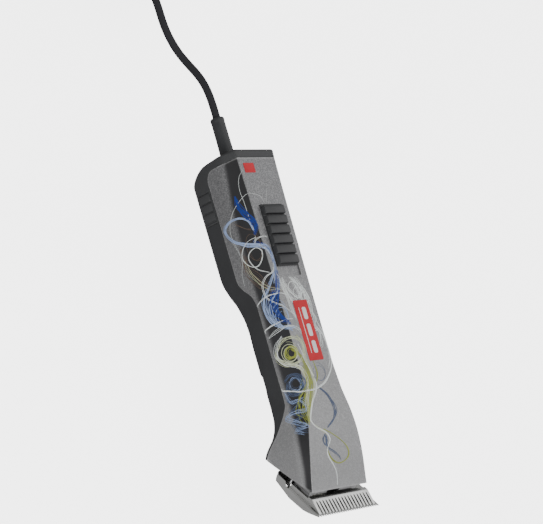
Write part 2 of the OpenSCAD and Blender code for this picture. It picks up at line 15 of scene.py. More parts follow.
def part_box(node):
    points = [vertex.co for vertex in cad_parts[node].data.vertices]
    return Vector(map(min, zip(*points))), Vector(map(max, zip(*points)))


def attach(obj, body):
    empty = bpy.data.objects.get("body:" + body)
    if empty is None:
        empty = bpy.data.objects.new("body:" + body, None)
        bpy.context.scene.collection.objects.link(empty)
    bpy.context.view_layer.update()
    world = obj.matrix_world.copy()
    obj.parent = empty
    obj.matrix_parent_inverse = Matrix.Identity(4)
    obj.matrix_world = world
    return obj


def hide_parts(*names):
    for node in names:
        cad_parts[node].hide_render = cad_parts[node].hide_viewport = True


bl_info = {
    "name": "Hair Clipper",
    "version": (1, 0, 0),
    "blender": (4, 5, 0),
    "location": "View3D > Sidebar > Clipper",
    "description": "Builds a mains hair clipper with its blade set, switch and cord",
    "category": "Add Mesh",
}

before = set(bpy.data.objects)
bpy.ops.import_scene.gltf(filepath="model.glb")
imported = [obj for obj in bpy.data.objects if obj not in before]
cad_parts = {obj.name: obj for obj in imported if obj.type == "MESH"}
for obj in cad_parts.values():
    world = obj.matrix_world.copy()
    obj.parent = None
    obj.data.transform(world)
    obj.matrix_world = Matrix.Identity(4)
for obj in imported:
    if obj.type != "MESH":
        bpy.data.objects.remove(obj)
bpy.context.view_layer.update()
HOUSING = "housing"
CAP_END = 204.0                                     # tips to the end of the cap
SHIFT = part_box("end_cap")[1].y * 1000 - CAP_END     # from the tips' own frame to the row's
FACE_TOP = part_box("label_plate")[0].z * 1000 - 0.02
WALL = 2.0

# Outline of the handle: pairs of y and value, eased between them
FACE_HEIGHT = ((0, 22.5), (14, 25.4), (33, 30.1), (48, 32.7), (62, 33.7), (204, 33.7))
FACE_HALF = ((0, 22.6), (14, 22.2), (33, 20.9), (50, 18.2), (66, 14.4), (84, 13.2), (110, 13.3),
             (157, 14), (198, 15), (204, 15.4))
SIDE_HALF = ((0, 24), (30, 24), (40, 23.6), (52, 21.4), (66, 20.5), (120, 20.5), (204, 20.9))
BEVEL_HEIGHT = ((0, 15), (14, 18.5), (29, 22.2), (46, 24.4), (62, 23.9), (110, 23), (172, 22.8),
                (184, 23.7), (196, 25.2), (204, 26))
JOINT_HEIGHT = ((30, 0.2), (35.6, 0.4), (51, 13.2), (58.5, 19.5), (63, 21.8), (70, 22), (117, 22),
                (123, 20.6), (130, 15), (134, 13.1), (138, 12.9), (204, 12.9))
REAR_HEIGHT = ((0, 0), (38.5, 0.1), (49, 8), (54, 9.2), (106, 9.2), (112, 8.8), (122, 6.4),
               (130, 2.7), (138, 0.2), (142, 0), (204, 0))
# Where the front shell ends before the cap: height and y
SHELL_END = ((12.9, 190.0), (13.2, 192.3), (13.9, 194.3), (15, 196), (16.5, 197.2), (18.5, 197.7),
             (28, 198.0), (33.4, 198.95), (33.8, 199.0))
HEAD_CUT = (12.1, 26.5, 0.9827)                     # y and z at the face, and the cut's slope
MODULE_Y = 169.5
CAP_LAST = 201.8                                    # last plain station of the cap
# Where the dark paint and painted reflection on the right bevel end
RIGHT_DARK_END = 44
HEEL_Y = 38.5
BLADE_TIP_HEIGHT = 26.6
BLADE_TURN = math.radians(39.4)
SCREW_SPOTS = ((15.2, 64.5), (-15.2, 64.5), (16, 112), (-16, 112))
BUTTON_AT = (179.0, 7.4)
# Round the slider's pocket, free of printing: y and distance
POCKET_CLEAR = ((129.9, 171.8), (4.3, 22.7))
LABEL_AT = (1.0, 99.2)
EMBLEM_AT = (-7.9, 193.0)

# Cord: straight out of the relief, down to the table and on to the coil
CORD_ROUTE = ((0, 230, 14), (0, 236, 14), (0, 244, 13.6), (0, 251, 12.3), (-0.2, 257, 10.2),
              (-0.6, 262, 7.8), (-1.2, 266, 5.8), (-2.2, 271, 3.8), (-3.6, 276, 2.5),
              (-5.4, 281, 2.3), (-7, 286, 2.3), (-7.9, 292, 2.3), (-8.1, 298, 2.3),
              (-8.16, 304, 2.3), (-8.97, 310, 2.3), (-10.54, 316, 2.3), (-12.6, 322, 2.39),
              (-14.93, 328, 2.59), (-17.25, 334, 2.8), (-19.31, 340, 2.94), (-21.07, 347, 2.95),
              (-21.75, 354, 2.95))
TAIL_ROUTE = ((-10.27, 331.73, 17), (-15.29, 338.25, 18.5), (-17.09, 342.59, 19.6),
              (-17.7, 347.25, 20.7), (-17.09, 351.91, 21.8), (-15.29, 356.25, 22.8),
              (-12.43, 359.98, 23.7), (-8.7, 362.84, 24.4), (-4.36, 364.64, 24.84),
              (0.3, 365.25, 25), (4, 365.25, 25))
COIL_AT = (12.0, 354.0)
PLUG_AT = (0.5, 365.25, 25.0)
PLUG_TURN = 0.0

# Stage: the floor's own light, and the backdrop as light and as seen by the camera
FLOOR_GLOW = 3.8
BACKDROP_LIGHT, BACKDROP_SEEN = 0.36, 4.2


class ClipperSizes(bpy.types.PropertyGroup):
    """Sizes that can be changed without leaving the frame."""

    rim_round: bpy.props.FloatProperty(
        name="Rim rounding", description="Radius on the moulded rims of the shells",
        default=0.00028, min=0.0001, max=0.0006, unit="LENGTH", precision=5)
    joint_gap: bpy.props.FloatProperty(
        name="Joint gap", description="Shadow gap between the shells and the cap",
        default=0.00022, min=0.0001, max=0.0005, unit="LENGTH", precision=5)
    side_fillet: bpy.props.FloatProperty(
        name="Side fillet", description="Fillet between the side wall and the dark bevel",
        default=0.0032, min=0.001, max=0.005, unit="LENGTH", precision=4)
    face_fillet: bpy.props.FloatProperty(
        name="Face fillet", description="Fillet between the dark bevel and the front face",
        default=0.0009, min=0.0003, max=0.002, unit="LENGTH", precision=4)
    comb_teeth: bpy.props.IntProperty(
        name="Comb teeth", description="Teeth of the lower, still blade", default=27, min=21,
        max=29)
    cutter_teeth: bpy.props.IntProperty(
        name="Cutter teeth", description="Teeth of the upper, moving blade", default=18, min=14,
        max=20)
    line_height: bpy.props.FloatProperty(
        name="Print height", description="How far the printed lines stand off the lacquer",
        default=0.00005, min=0.00002, max=0.0001, unit="LENGTH", precision=6)
    cord_diameter: bpy.props.FloatProperty(
        name="Cord diameter", description="Diameter of the mains lead", default=0.0045,
        min=0.004, max=0.0048, unit="LENGTH", precision=4)
    floor_size: bpy.props.FloatProperty(
        name="Floor size", description="Side of the pale floor", default=16.0, min=2.0,
        max=20.0, unit="LENGTH")
    floor_drop: bpy.props.FloatProperty(
        name="Floor drop", description="How far the floor lies below, so open blades clear it",
        default=0.04, min=0.0002, max=0.1, unit="LENGTH", precision=4)


class ClipperColours(bpy.types.PropertyGroup):
    """Colours of the finishes."""

    # The two lacquer colours carry painted light: paler lacquer at the head and darker lacquer at
    # the cap stand in for how the light falls along the shell
    lit_lacquer_head: bpy.props.FloatVectorProperty(
        name="Lacquer at the head", description="Metallic lacquer near the blade",
        default=(0.30, 0.30, 0.305), subtype="COLOR", min=0, max=1)
    shaded_lacquer_cap: bpy.props.FloatVectorProperty(
        name="Lacquer at the cap", description="Metallic lacquer near the cord",
        default=(0.155, 0.155, 0.16), subtype="COLOR", min=0, max=1)
    # Colour of the dark bevels: near-black paint and painted dark reflection
    bevel_black_and_reflection: bpy.props.FloatVectorProperty(
        name="Bevel", description="Near-black paint on the bevels",
        default=(0.012, 0.012, 0.014), subtype="COLOR", min=0, max=1)
    charcoal: bpy.props.FloatVectorProperty(
        name="Rear shell", description="Textured plastic of the rear shell",
        default=(0.026, 0.027, 0.029), subtype="COLOR", min=0, max=1)
    cap_grey: bpy.props.FloatVectorProperty(
        name="Cap", description="Textured plastic of the cap and buttons",
        default=(0.036, 0.037, 0.039), subtype="COLOR", min=0, max=1)
    switch_grey: bpy.props.FloatVectorProperty(
        name="Switch", description="Textured plastic of the switch slider",
        default=(0.020, 0.021, 0.023), subtype="COLOR", min=0, max=1)
    label_red: bpy.props.FloatVectorProperty(
        name="Label", description="Red of the blank label and emblem",
        default=(0.62, 0.002, 0.012), subtype="COLOR", min=0, max=1)
    rubber: bpy.props.FloatVectorProperty(
        name="Rubber", description="Cord, strain relief and plug",
        default=(0.020, 0.021, 0.023), subtype="COLOR", min=0, max=1)


def sizes():
    return bpy.context.scene.clipper_sizes


def colours():
    return bpy.context.scene.clipper_colours


# ---------------------------------------------------------------- measures and outlines

def place(points):
    """Points in millimetres from the blade tips, as metres in the frame."""
    points = np.asarray(points, float).reshape(-1, 3)
    return (points + (0, SHIFT, 0)) * 0.001


def eased(table, y):
    """A table's value at each y, eased between its stations."""
    x, v = np.array(table, float).T
    y = np.clip(np.asarray(y, float), x[0], x[-1])
    step = np.diff(v) / np.diff(x)
    before, after = step[:-1], step[1:]
    same = before * after > 0
    slope = np.zeros(len(x))
    slope[1:-1] = np.where(same, 2 * before * after / np.where(same, before + after, 1), 0)
    i = np.clip(np.searchsorted(x, y, side="right") - 1, 0, len(x) - 2)
    h = x[i + 1] - x[i]
    u = (y - x[i]) / h
    return (v[i] * (1 - u) ** 2 * (1 + 2 * u) + v[i + 1] * u * u * (3 - 2 * u)
            + slope[i] * h * u * (1 - u) ** 2 - slope[i + 1] * h * u * u * (1 - u))


def smooth(x, low, high):
    t = np.clip((np.asarray(x, float) - low) / (high - low), 0, 1)
    return t * t * (3 - 2 * t)


def corner_path(corners, radii, counts):
    """Polylines through the corners of many stations at once, with each inner corner rounded.

    corners is a list of (stations, 2) arrays, and counts holds the points on each straight.
    """
    parts = []
    start = corners[0]
    for k in range(1, len(corners)):
        here = corners[k]
        if k < len(corners) - 1:
            back, on = corners[k - 1] - here, corners[k + 1] - here
            lb = np.linalg.norm(back, axis=1, keepdims=True) + 1e-9
            lo = np.linalg.norm(on, axis=1, keepdims=True) + 1e-9
            trim = np.minimum(radii[k - 1], np.minimum(lb, lo) * 0.45)
            first, last = here + back / lb * trim, here + on / lo * trim
        else:
            first = here
        for u in np.linspace(0, 1, counts[k - 1], endpoint=k == len(corners) - 1):
            parts.append(start + (first - start) * u)
        if k < len(corners) - 1:
            for u in np.linspace(0, 1, 8):
                parts.append(first * (1 - u) ** 2 + here * 2 * u * (1 - u) + last * u * u)
            start = last + (on / lo) * 1e-4
    return np.stack(parts, axis=1)


def upper_half(y, inset=0.0):
    """Right half of the front shell's outline at each y, from the joint to the middle."""
    y = np.atleast_1d(np.asarray(y, float))
    side, face = eased(SIDE_HALF, y) - inset, eased(FACE_HALF, y) - inset * 0.6
    joint, top = eased(JOINT_HEIGHT, y), eased(FACE_HEIGHT, y) - inset
    bevel = np.maximum(joint + 0.25, eased(BEVEL_HEIGHT, y) - inset * 0.4)
    corners = [np.stack(p, axis=1) for p in
               ((side, joint), (side, bevel), (face, top), (np.zeros_like(y), top))]
    return corner_path(corners, (sizes().side_fillet * 1000, sizes().face_fillet * 1000),
                       (7, 12, 9))


def rear_level(y):
    """Height of the rear face, with the small step under the waist."""
    step = 0.45 * (smooth(y, 70, 76) - smooth(y, 81.6, 82.1)) + 0.1 * smooth(y, 50, 56)
    return eased(REAR_HEIGHT, y) + step * (eased(REAR_HEIGHT, y) > 8) - 0.35 * (
        smooth(y, 82.1, 83) - smooth(y, 96, 106)) * (eased(REAR_HEIGHT, y) > 8)


def lower_half(y, inset=0.0, gap=0.0):
    """Right half of the rear outline at each y, from the joint down to the middle."""
    y = np.atleast_1d(np.asarray(y, float))
    side, high = eased(SIDE_HALF, y) - inset, eased(JOINT_HEIGHT, y) - gap
    low = np.minimum(rear_level(y) + inset, high - 0.4)
    corners = [np.stack(p, axis=1) for p in
               ((side, high), (side, low), (np.zeros_like(y), low))]
    return corner_path(corners, (4.2,), (8, 9))


def mirrored(half):
    """A whole outline from its right half, whose last point is on the middle."""
    left = half[:, -2::-1].copy()
    left[..., 0] *= -1
    return np.concatenate([half, left], axis=1)


def on_lines(outline, y_grid):
    """Each line of the outline at its own y: (stations, lines) of y into 3-D points."""
    stations, lines = y_grid.shape
    flat = outline(y_grid.ravel()).reshape(stations, lines, lines, 2)
    index = np.arange(lines)
    at = flat[:, index, index]
    return np.dstack([at[..., 0], y_grid, at[..., 1]])


def line_limits(outline, lines, limit, guess):
    """The y at which each line of the outline meets a limit given as y from height."""
    y = np.full(lines, float(guess))
    for _ in range(60):
        z = outline(y)[np.arange(lines), np.arange(lines), 1]
        y = 0.5 * y + 0.5 * limit(z)
    return y


def blade_place(x, y, z):
    """From blade coordinates to the tips' frame."""
    c, s = math.cos(BLADE_TURN), math.sin(BLADE_TURN)
    return (x, y * c + z * s, -y * s + z * c + BLADE_TIP_HEIGHT)


# ---------------------------------------------------------------- meshes

def new_mesh(name, points, faces):
    """A mesh object from points in millimetres; doubles are welded and normals turned out."""
    mesh = bpy.data.meshes.new(name)
    mesh.from_pydata(place(points).tolist(), [], faces)
    shape = bmesh.new()
    shape.from_mesh(mesh)
    bmesh.ops.remove_doubles(shape, verts=shape.verts, dist=2e-6)
    bmesh.ops.dissolve_degenerate(shape, edges=shape.edges, dist=1e-6)
    bmesh.ops.recalc_face_normals(shape, faces=shape.faces)
    shape.to_mesh(mesh)
    shape.free()
    made = bpy.data.objects.new(name, mesh)
    bpy.context.scene.collection.objects.link(made)
    return made


def grid_faces(rows, columns, start=0, close=False):
    faces = []
    for j in range(rows - 1):
        for i in range(columns if close else columns - 1):
            k = (i + 1) % columns
            faces.append((start + j * columns + i, start + j * columns + k,
                          start + (j + 1) * columns + k, start + (j + 1) * columns + i))
    return faces


def loft(name, rings):
    """A closed form through equal closed rings of points."""
    rows, columns = len(rings), len(rings[0])
    faces = grid_faces(rows, columns, close=True)
    faces.append(tuple(range(columns - 1, -1, -1)))
    faces.append(tuple(range((rows - 1) * columns, rows * columns)))
    return new_mesh(name, np.concatenate([np.asarray(r, float) for r in rings]), faces)


def revolved(name, profile, origin, axis, steps=48):
    """A turned form: profile holds (distance along the axis, radius)."""
    axis = Vector(axis).normalized()
    side = axis.orthogonal().normalized()
    other = axis.cross(side)
    rings = []
    for along, radius in profile:
        middle, radius = Vector(origin) + axis * float(along), float(radius)
        rings.append([tuple(middle + radius * (math.cos(a) * side + math.sin(a) * other))
                      for a in np.linspace(0, 2 * math.pi, steps, endpoint=False)])
    return loft(name, rings)


def wall_mesh(name, outer, inner):
    """A closed wall between two grids of points, each (stations, lines, 3)."""
    rows, columns = outer.shape[:2]
    count = rows * columns
    faces = grid_faces(rows, columns)
    faces += [tuple(reversed([v + count for v in f])) for f in grid_faces(rows, columns)]
    for j in range(rows - 1):
        for i in (0, columns - 1):
            a, b = j * columns + i, (j + 1) * columns + i
            faces.append((a, b, b + count, a + count))
    for i in range(columns - 1):
        for j in (0, rows - 1):
            a, b = j * columns + i, j * columns + i + 1
            faces.append((a, b, b + count, a + count))
    return new_mesh(name, np.concatenate([outer.reshape(-1, 3), inner.reshape(-1, 3)]), faces)


def made_solid(piece):
    """Makes the piece's modifiers part of its mesh."""
    bpy.context.view_layer.update()
    graph = bpy.context.evaluated_depsgraph_get()
    mesh = bpy.data.meshes.new_from_object(piece.evaluated_get(graph), depsgraph=graph)
    old = piece.data
    piece.modifiers.clear()
    piece.data = mesh
    mesh.name = piece.name
    bpy.data.meshes.remove(old)
    return piece


def rounded(piece, width, angle=40, segments=2):
    """Rounds the edges that are sharper than the angle."""
    edge = piece.modifiers.new("rounded edges", "BEVEL")
    edge.width = width * 0.001
    edge.segments = segments
    edge.limit_method = "ANGLE"
    edge.angle_limit = math.radians(angle)
    edge.use_clamp_overlap = True
    return made_solid(piece)


def cut(piece, *tools):
    """Takes the tools out of the piece, and removes them."""
    for tool in tools:
        step = piece.modifiers.new("cut", "BOOLEAN")
        step.operation = "DIFFERENCE"
        step.solver = "EXACT"
        step.object = tool
    made_solid(piece)
    for tool in tools:
        bpy.data.objects.remove(tool)
    if len(piece.data.polygons) < 6:
        raise RuntimeError(f"{piece.name} was lost in a cut")
    return piece


def joined(piece, *others):
    """Adds the other pieces' meshes to the first, and removes them."""
    whole = bmesh.new()
    whole.from_mesh(piece.data)
    for other in others:
        whole.from_mesh(other.data)
        bpy.data.objects.remove(other)
    whole.to_mesh(piece.data)
    whole.free()
    return piece


def block(name, low, high, round_by=0.0):
    """A box between two corners, with its upright edges rounded."""
    (x0, y0, z0), (x1, y1, z1) = low, high
    r = max(round_by, 0.001)
    ring = []
    for cx, cy, turn in ((x1 - r, y1 - r, 0), (x0 + r, y1 - r, 90), (x0 + r, y0 + r, 180),
                         (x1 - r, y0 + r, 270)):
        for k in range(5):
            a = math.radians(turn + 22.5 * k)
            ring.append((cx + r * math.cos(a), cy + r * math.sin(a)))
    return loft(name, [[(x, y, z) for x, y in ring] for z in (z0, z1)])


def finished(piece, body, look, slot, *replaced, angle=32):
    """Shades the piece, gives it its material and ties it to the frame."""
    piece.data.shade_smooth()
    piece.data.set_sharp_from_angle(angle=math.radians(angle))
    piece.data.materials.clear()
    piece.data.materials.append(look)
    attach(piece, body)
    if replaced:
        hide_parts(*replaced)
    return piece


# ---------------------------------------------------------------- shared shader groups

def add_node(tree, kind, values=None, **settings):
    node = tree.nodes.new(kind)
    for name, value in settings.items():
        setattr(node, name, value)
    for name, value in (values or {}).items():
        node.inputs[name].default_value = value
    return node


def new_group(name, inputs, outputs):
    """An empty shader group with its sockets."""
    tree = bpy.data.node_groups.new(name, "ShaderNodeTree")
    for label, kind, value in inputs:
        socket = tree.interface.new_socket(label, in_out="INPUT", socket_type=kind)
        socket.default_value = value
    for label, kind in outputs:
        tree.interface.new_socket(label, in_out="OUTPUT", socket_type=kind)
    return tree, tree.nodes.new("NodeGroupInput"), tree.nodes.new("NodeGroupOutput")


NUMBER, ARROW = "NodeSocketFloat", "NodeSocketVector"


def moulded_grain():
    """Spark-eroded texture of a moulded surface."""
    if "moulded_grain" in bpy.data.node_groups:
        return bpy.data.node_groups["moulded_grain"]
    tree, given, result = new_group(
        "moulded_grain", (("Scale", NUMBER, 900.0), ("Depth", NUMBER, 0.3)),
        (("Value", NUMBER), ("Normal", ARROW)))
    link = tree.links.new
    where = add_node(tree, "ShaderNodeTexCoord")
    noise = add_node(tree, "ShaderNodeTexNoise", {"Detail": 3.0, "Roughness": 0.6})
    cells = add_node(tree, "ShaderNodeTexVoronoi")
    both = add_node(tree, "ShaderNodeMath", {1: 0.5}, operation="MULTIPLY_ADD")
    bump = add_node(tree, "ShaderNodeBump", {"Distance": 0.0002})
    link(where.outputs["Object"], noise.inputs["Vector"])
    link(where.outputs["Object"], cells.inputs["Vector"])
    link(given.outputs["Scale"], noise.inputs["Scale"])
    link(given.outputs["Scale"], cells.inputs["Scale"])
    link(cells.outputs["Distance"], both.inputs[0])
    link(noise.outputs["Fac"], both.inputs[2])
    link(both.outputs[0], bump.inputs["Height"])
    link(given.outputs["Depth"], bump.inputs["Strength"])
    link(both.outputs[0], result.inputs["Value"])
    link(bump.outputs["Normal"], result.inputs["Normal"])
    return tree


def hand_marks():
    """Cloudy patches where hands and dust leave a surface duller."""
    if "hand_marks" in bpy.data.node_groups:
        return bpy.data.node_groups["hand_marks"]
    tree, given, result = new_group(
        "hand_marks", (("Scale", NUMBER, 40.0),), (("Mask", NUMBER),))
    link = tree.links.new
    where = add_node(tree, "ShaderNodeTexCoord")
    noise = add_node(tree, "ShaderNodeTexNoise", {"Detail": 6.0, "Roughness": 0.62,
                                                  "Distortion": 0.6})
    limits = add_node(tree, "ShaderNodeMapRange", {"From Min": 0.38, "From Max": 0.72})
    link(where.outputs["Object"], noise.inputs["Vector"])
    link(given.outputs["Scale"], noise.inputs["Scale"])
    link(noise.outputs["Fac"], limits.inputs["Value"])
    link(limits.outputs["Result"], result.inputs["Mask"])
    return tree


def worn_edges():
    """Outer edges, broken up as rubbing wears them."""
    if "worn_edges" in bpy.data.node_groups:
        return bpy.data.node_groups["worn_edges"]
    tree, given, result = new_group(
        "worn_edges", (("Start", NUMBER, 0.53), ("End", NUMBER, 0.62)), (("Mask", NUMBER),))
    link = tree.links.new
    shape = add_node(tree, "ShaderNodeNewGeometry")
    where = add_node(tree, "ShaderNodeTexCoord")
    noise = add_node(tree, "ShaderNodeTexNoise", {"Scale": 260.0, "Detail": 4.0})
    limits = add_node(tree, "ShaderNodeMapRange")
    part = add_node(tree, "ShaderNodeMath", operation="MULTIPLY")
    link(where.outputs["Object"], noise.inputs["Vector"])
    link(shape.outputs["Pointiness"], limits.inputs["Value"])
    link(given.outputs["Start"], limits.inputs["From Min"])
    link(given.outputs["End"], limits.inputs["From Max"])
    link(limits.outputs["Result"], part.inputs[0])
    link(noise.outputs["Fac"], part.inputs[1])
    link(part.outputs[0], result.inputs["Mask"])
    return tree


def grinding_lines():
    """Fine parallel lines left by grinding, rolling or turning."""
    if "grinding_lines" in bpy.data.node_groups:
        return bpy.data.node_groups["grinding_lines"]
    tree, given, result = new_group(
        "grinding_lines", (("Stretch", ARROW, (40.0, 900.0, 900.0)), ("Depth", NUMBER, 0.2)),
        (("Value", NUMBER), ("Normal", ARROW)))
    link = tree.links.new
    where = add_node(tree, "ShaderNodeTexCoord")
    turned = add_node(tree, "ShaderNodeVectorMath", operation="MULTIPLY")
    noise = add_node(tree, "ShaderNodeTexNoise", {"Scale": 3.0, "Detail": 5.0,
                                                  "Roughness": 0.7})
    bump = add_node(tree, "ShaderNodeBump", {"Distance": 0.0001})
    link(where.outputs["Object"], turned.inputs[0])
    link(given.outputs["Stretch"], turned.inputs[1])
    link(turned.outputs["Vector"], noise.inputs["Vector"])
    link(noise.outputs["Fac"], bump.inputs["Height"])
    link(given.outputs["Depth"], bump.inputs["Strength"])
    link(noise.outputs["Fac"], result.inputs["Value"])
    link(bump.outputs["Normal"], result.inputs["Normal"])
    return tree


def use_group(tree, group, values=None):
    node = tree.nodes.new("ShaderNodeGroup")
    node.node_tree = group
    for name, value in (values or {}).items():
        node.inputs[name].default_value = value
    return node


def blank_material(name):
    """A material with only its Principled shader and output."""
    look = bpy.data.materials.new(name)
    look.use_nodes = True
    tree = look.node_tree
    tree.nodes.clear()
    shader = tree.nodes.new("ShaderNodeBsdfPrincipled")
    out = tree.nodes.new("ShaderNodeOutputMaterial")
    tree.links.new(shader.outputs["BSDF"], out.inputs["Surface"])
    return look, tree, shader


def mixed(tree, first, second, share):
    """A colour mixed from two, each a colour or an output, by a mask's output."""
    node = add_node(tree, "ShaderNodeMix", data_type="RGBA")
    for index, value in ((6, first), (7, second)):
        if isinstance(value, bpy.types.NodeSocket):
            tree.links.new(value, node.inputs[index])
        else:
            node.inputs[index].default_value = (*tuple(value)[:3], 1)
    tree.links.new(share, node.inputs[0])
    return node.outputs[2]


def scaled(tree, value, factor):
    node = add_node(tree, "ShaderNodeMath", {1: factor}, operation="MULTIPLY")
    tree.links.new(value, node.inputs[0])
    return node.outputs[0]


def ranged(tree, value, low, high):
    node = add_node(tree, "ShaderNodeMapRange", {"To Min": low, "To Max": high})
    tree.links.new(value, node.inputs["Value"])
    return node.outputs["Result"]


def moulded(name, colour, rough=(0.45, 0.6), grain=(900.0, 0.25), wear=0.25, marks=0.35,
            coat=0.0):
    """Moulded plastic or rubber: grain, duller hand marks and paler edges."""
    if name in bpy.data.materials:
        return bpy.data.materials[name]
    look, tree, shader = blank_material(name)
    colour = np.array(colour[:3], float)
    texture = use_group(tree, moulded_grain(), {"Scale": grain[0], "Depth": grain[1]})
    mask = use_group(tree, hand_marks(), {"Scale": 45.0})
    edge = use_group(tree, worn_edges())
    base = mixed(tree, colour, colour * 1.5 + 0.006, scaled(tree, mask.outputs["Mask"], marks))
    base = mixed(tree, base, colour * 2.2 + 0.03, scaled(tree, edge.outputs["Mask"], wear))
    tree.links.new(base, shader.inputs["Base Color"])
    tree.links.new(ranged(tree, mask.outputs["Mask"], *rough), shader.inputs["Roughness"])
    tree.links.new(texture.outputs["Normal"], shader.inputs["Normal"])
    shader.inputs["Coat Weight"].default_value = coat
    shader.inputs["Coat Roughness"].default_value = 0.12
    return look


def metal(name, colour, rough=(0.18, 0.32), lines=(40.0, 900.0, 900.0), depth=0.15,
          dark=0.5):
    """Bare metal: grinding lines, cloudy smears and bright worn edges."""
    if name in bpy.data.materials:
        return bpy.data.materials[name]
    look, tree, shader = blank_material(name)
    colour = np.array(colour[:3], float)
    texture = use_group(tree, grinding_lines(), {"Stretch": lines, "Depth": depth})
    mask = use_group(tree, hand_marks(), {"Scale": 90.0})
    edge = use_group(tree, worn_edges())
    base = mixed(tree, colour * dark, colour, texture.outputs["Value"])
    base = mixed(tree, colour, base, scaled(tree, mask.outputs["Mask"], 0.8))
    base = mixed(tree, base, np.minimum(colour * 1.3 + 0.05, 0.95),
                 scaled(tree, edge.outputs["Mask"], 0.6))
    tree.links.new(base, shader.inputs["Base Color"])
    tree.links.new(ranged(tree, mask.outputs["Mask"], *rough), shader.inputs["Roughness"])
    tree.links.new(texture.outputs["Normal"], shader.inputs["Normal"])
    shader.inputs["Metallic"].default_value = 1.0
    return look


def lacquer():
    """Metallic lacquer with painted light, paler towards the head and darker towards the cap,
    with near-black paint and painted dark reflection on the bevels, and fine flakes.
    """
    if "shell_lacquer" in bpy.data.materials:
        return bpy.data.materials["shell_lacquer"]
    look, tree, shader = blank_material("shell_lacquer")
    link = tree.links.new
    where = add_node(tree, "ShaderNodeTexCoord")
    parts = add_node(tree, "ShaderNodeSeparateXYZ")
    # Painted light and shade: the lacquer runs along y from the paler head to the darker cap
    along = add_node(tree, "ShaderNodeMapRange", {"From Min": -0.085, "From Max": 0.06})
    link(where.outputs["Object"], parts.inputs[0])
    link(parts.outputs["Y"], along.inputs["Value"])
    base = mixed(tree, colours().lit_lacquer_head, colours().shaded_lacquer_cap, along.outputs["Result"])
    flakes = add_node(tree, "ShaderNodeTexVoronoi", {"Scale": 2200.0})
    link(where.outputs["Object"], flakes.inputs["Vector"])
    bright = add_node(tree, "ShaderNodeSeparateColor")
    link(flakes.outputs["Color"], bright.inputs[0])
    shine = add_node(tree, "ShaderNodeMapRange", {"From Min": 0.35, "From Max": 1.0,
                                                  "To Max": 0.34})
    link(bright.outputs[0], shine.inputs["Value"])
    base = mixed(tree, base, (0.55, 0.55, 0.56), shine.outputs["Result"])
    # Dark bevels: near-black paint and painted dark reflection, read from the shell's attribute
    tone = add_node(tree, "ShaderNodeAttribute", attribute_name="tone")
    base = mixed(tree, base, colours().bevel_black_and_reflection, tone.outputs["Fac"])
    edge = use_group(tree, worn_edges(), {"Start": 0.53, "End": 0.62})
    base = mixed(tree, base, (0.6, 0.6, 0.6), scaled(tree, edge.outputs["Mask"], 0.9))
    marks = use_group(tree, hand_marks(), {"Scale": 30.0})
    texture = use_group(tree, moulded_grain(), {"Scale": 1500.0, "Depth": 0.04})
    link(base, shader.inputs["Base Color"])
    link(ranged(tree, marks.outputs["Mask"], 0.36, 0.46), shader.inputs["Roughness"])
    link(ranged(tree, tone.outputs["Fac"], 0.45, 0.0), shader.inputs["Metallic"])
    link(texture.outputs["Normal"], shader.inputs["Normal"])
    shader.inputs["Coat Weight"].default_value = 0.25
    shader.inputs["Coat Roughness"].default_value = 0.2
    return look


def printed(name, colour, gloss=0.35):
    """Printing ink, a little uneven in strength."""
    if name in bpy.data.materials:
        return bpy.data.materials[name]
    look, tree, shader = blank_material(name)
    colour = np.array(colour[:3], float)
    mask = use_group(tree, hand_marks(), {"Scale": 120.0})
    texture = use_group(tree, moulded_grain(), {"Scale": 1200.0, "Depth": 0.05})
    base = mixed(tree, colour, colour * 0.72, scaled(tree, mask.outputs["Mask"], 0.5))
    tree.links.new(base, shader.inputs["Base Color"])
    tree.links.new(ranged(tree, mask.outputs["Mask"], gloss, gloss + 0.15),
                   shader.inputs["Roughness"])
    tree.links.new(texture.outputs["Normal"], shader.inputs["Normal"])
    return look


def banded(name, first, second, scale, direction="Y", rough=0.6, metallic=0.0):
    """Even bands: windings, tape, tracks or a woven strap."""
    if name in bpy.data.materials:
        return bpy.data.materials[name]
    look, tree, shader = blank_material(name)
    where = add_node(tree, "ShaderNodeTexCoord")
    wave = add_node(tree, "ShaderNodeTexWave", {"Scale": scale, "Distortion": 0.8,
                                                "Detail": 2.0}, bands_direction=direction)
    bump = add_node(tree, "ShaderNodeBump", {"Strength": 0.5, "Distance": 0.0002})
    tree.links.new(where.outputs["Object"], wave.inputs["Vector"])
    tree.links.new(wave.outputs["Fac"], bump.inputs["Height"])
    tree.links.new(mixed(tree, first, second, wave.outputs["Fac"]), shader.inputs["Base Color"])
    tree.links.new(bump.outputs["Normal"], shader.inputs["Normal"])
    tree.links.new(ranged(tree, wave.outputs["Fac"], rough, rough + 0.15),
                   shader.inputs["Roughness"])
    shader.inputs["Metallic"].default_value = metallic
    return look


# ---------------------------------------------------------------- cord

def spline(points, step=1.0):
    """A smooth line through the points, in steps of about the given length."""
    p = np.asarray(points, float)
    padded = np.vstack([2 * p[0] - p[1], p, 2 * p[-1] - p[-2]])
    out = []
    for i in range(1, len(padded) - 2):
        a, b, c, d = padded[i - 1:i + 3]
        count = max(2, int(np.linalg.norm(c - b) / step))
        for u in np.linspace(0, 1, count, endpoint=False):
            out.append(0.5 * (2 * b + (c - a) * u + (2 * a - 5 * b + 4 * c - d) * u * u
                              + (3 * b - a - 3 * c + d) * u ** 3))
    out.append(p[-1])
    return np.array(out)


def evenly(points, step):
    """The same line with its points a step apart."""
    p = np.asarray(points, float)
    far = np.concatenate([[0], np.cumsum(np.linalg.norm(np.diff(p, axis=0), axis=1))])
    at = np.linspace(0, far[-1], max(2, int(round(far[-1] / step))) + 1)
    return np.stack([np.interp(at, far, p[:, k]) for k in range(3)], axis=1)


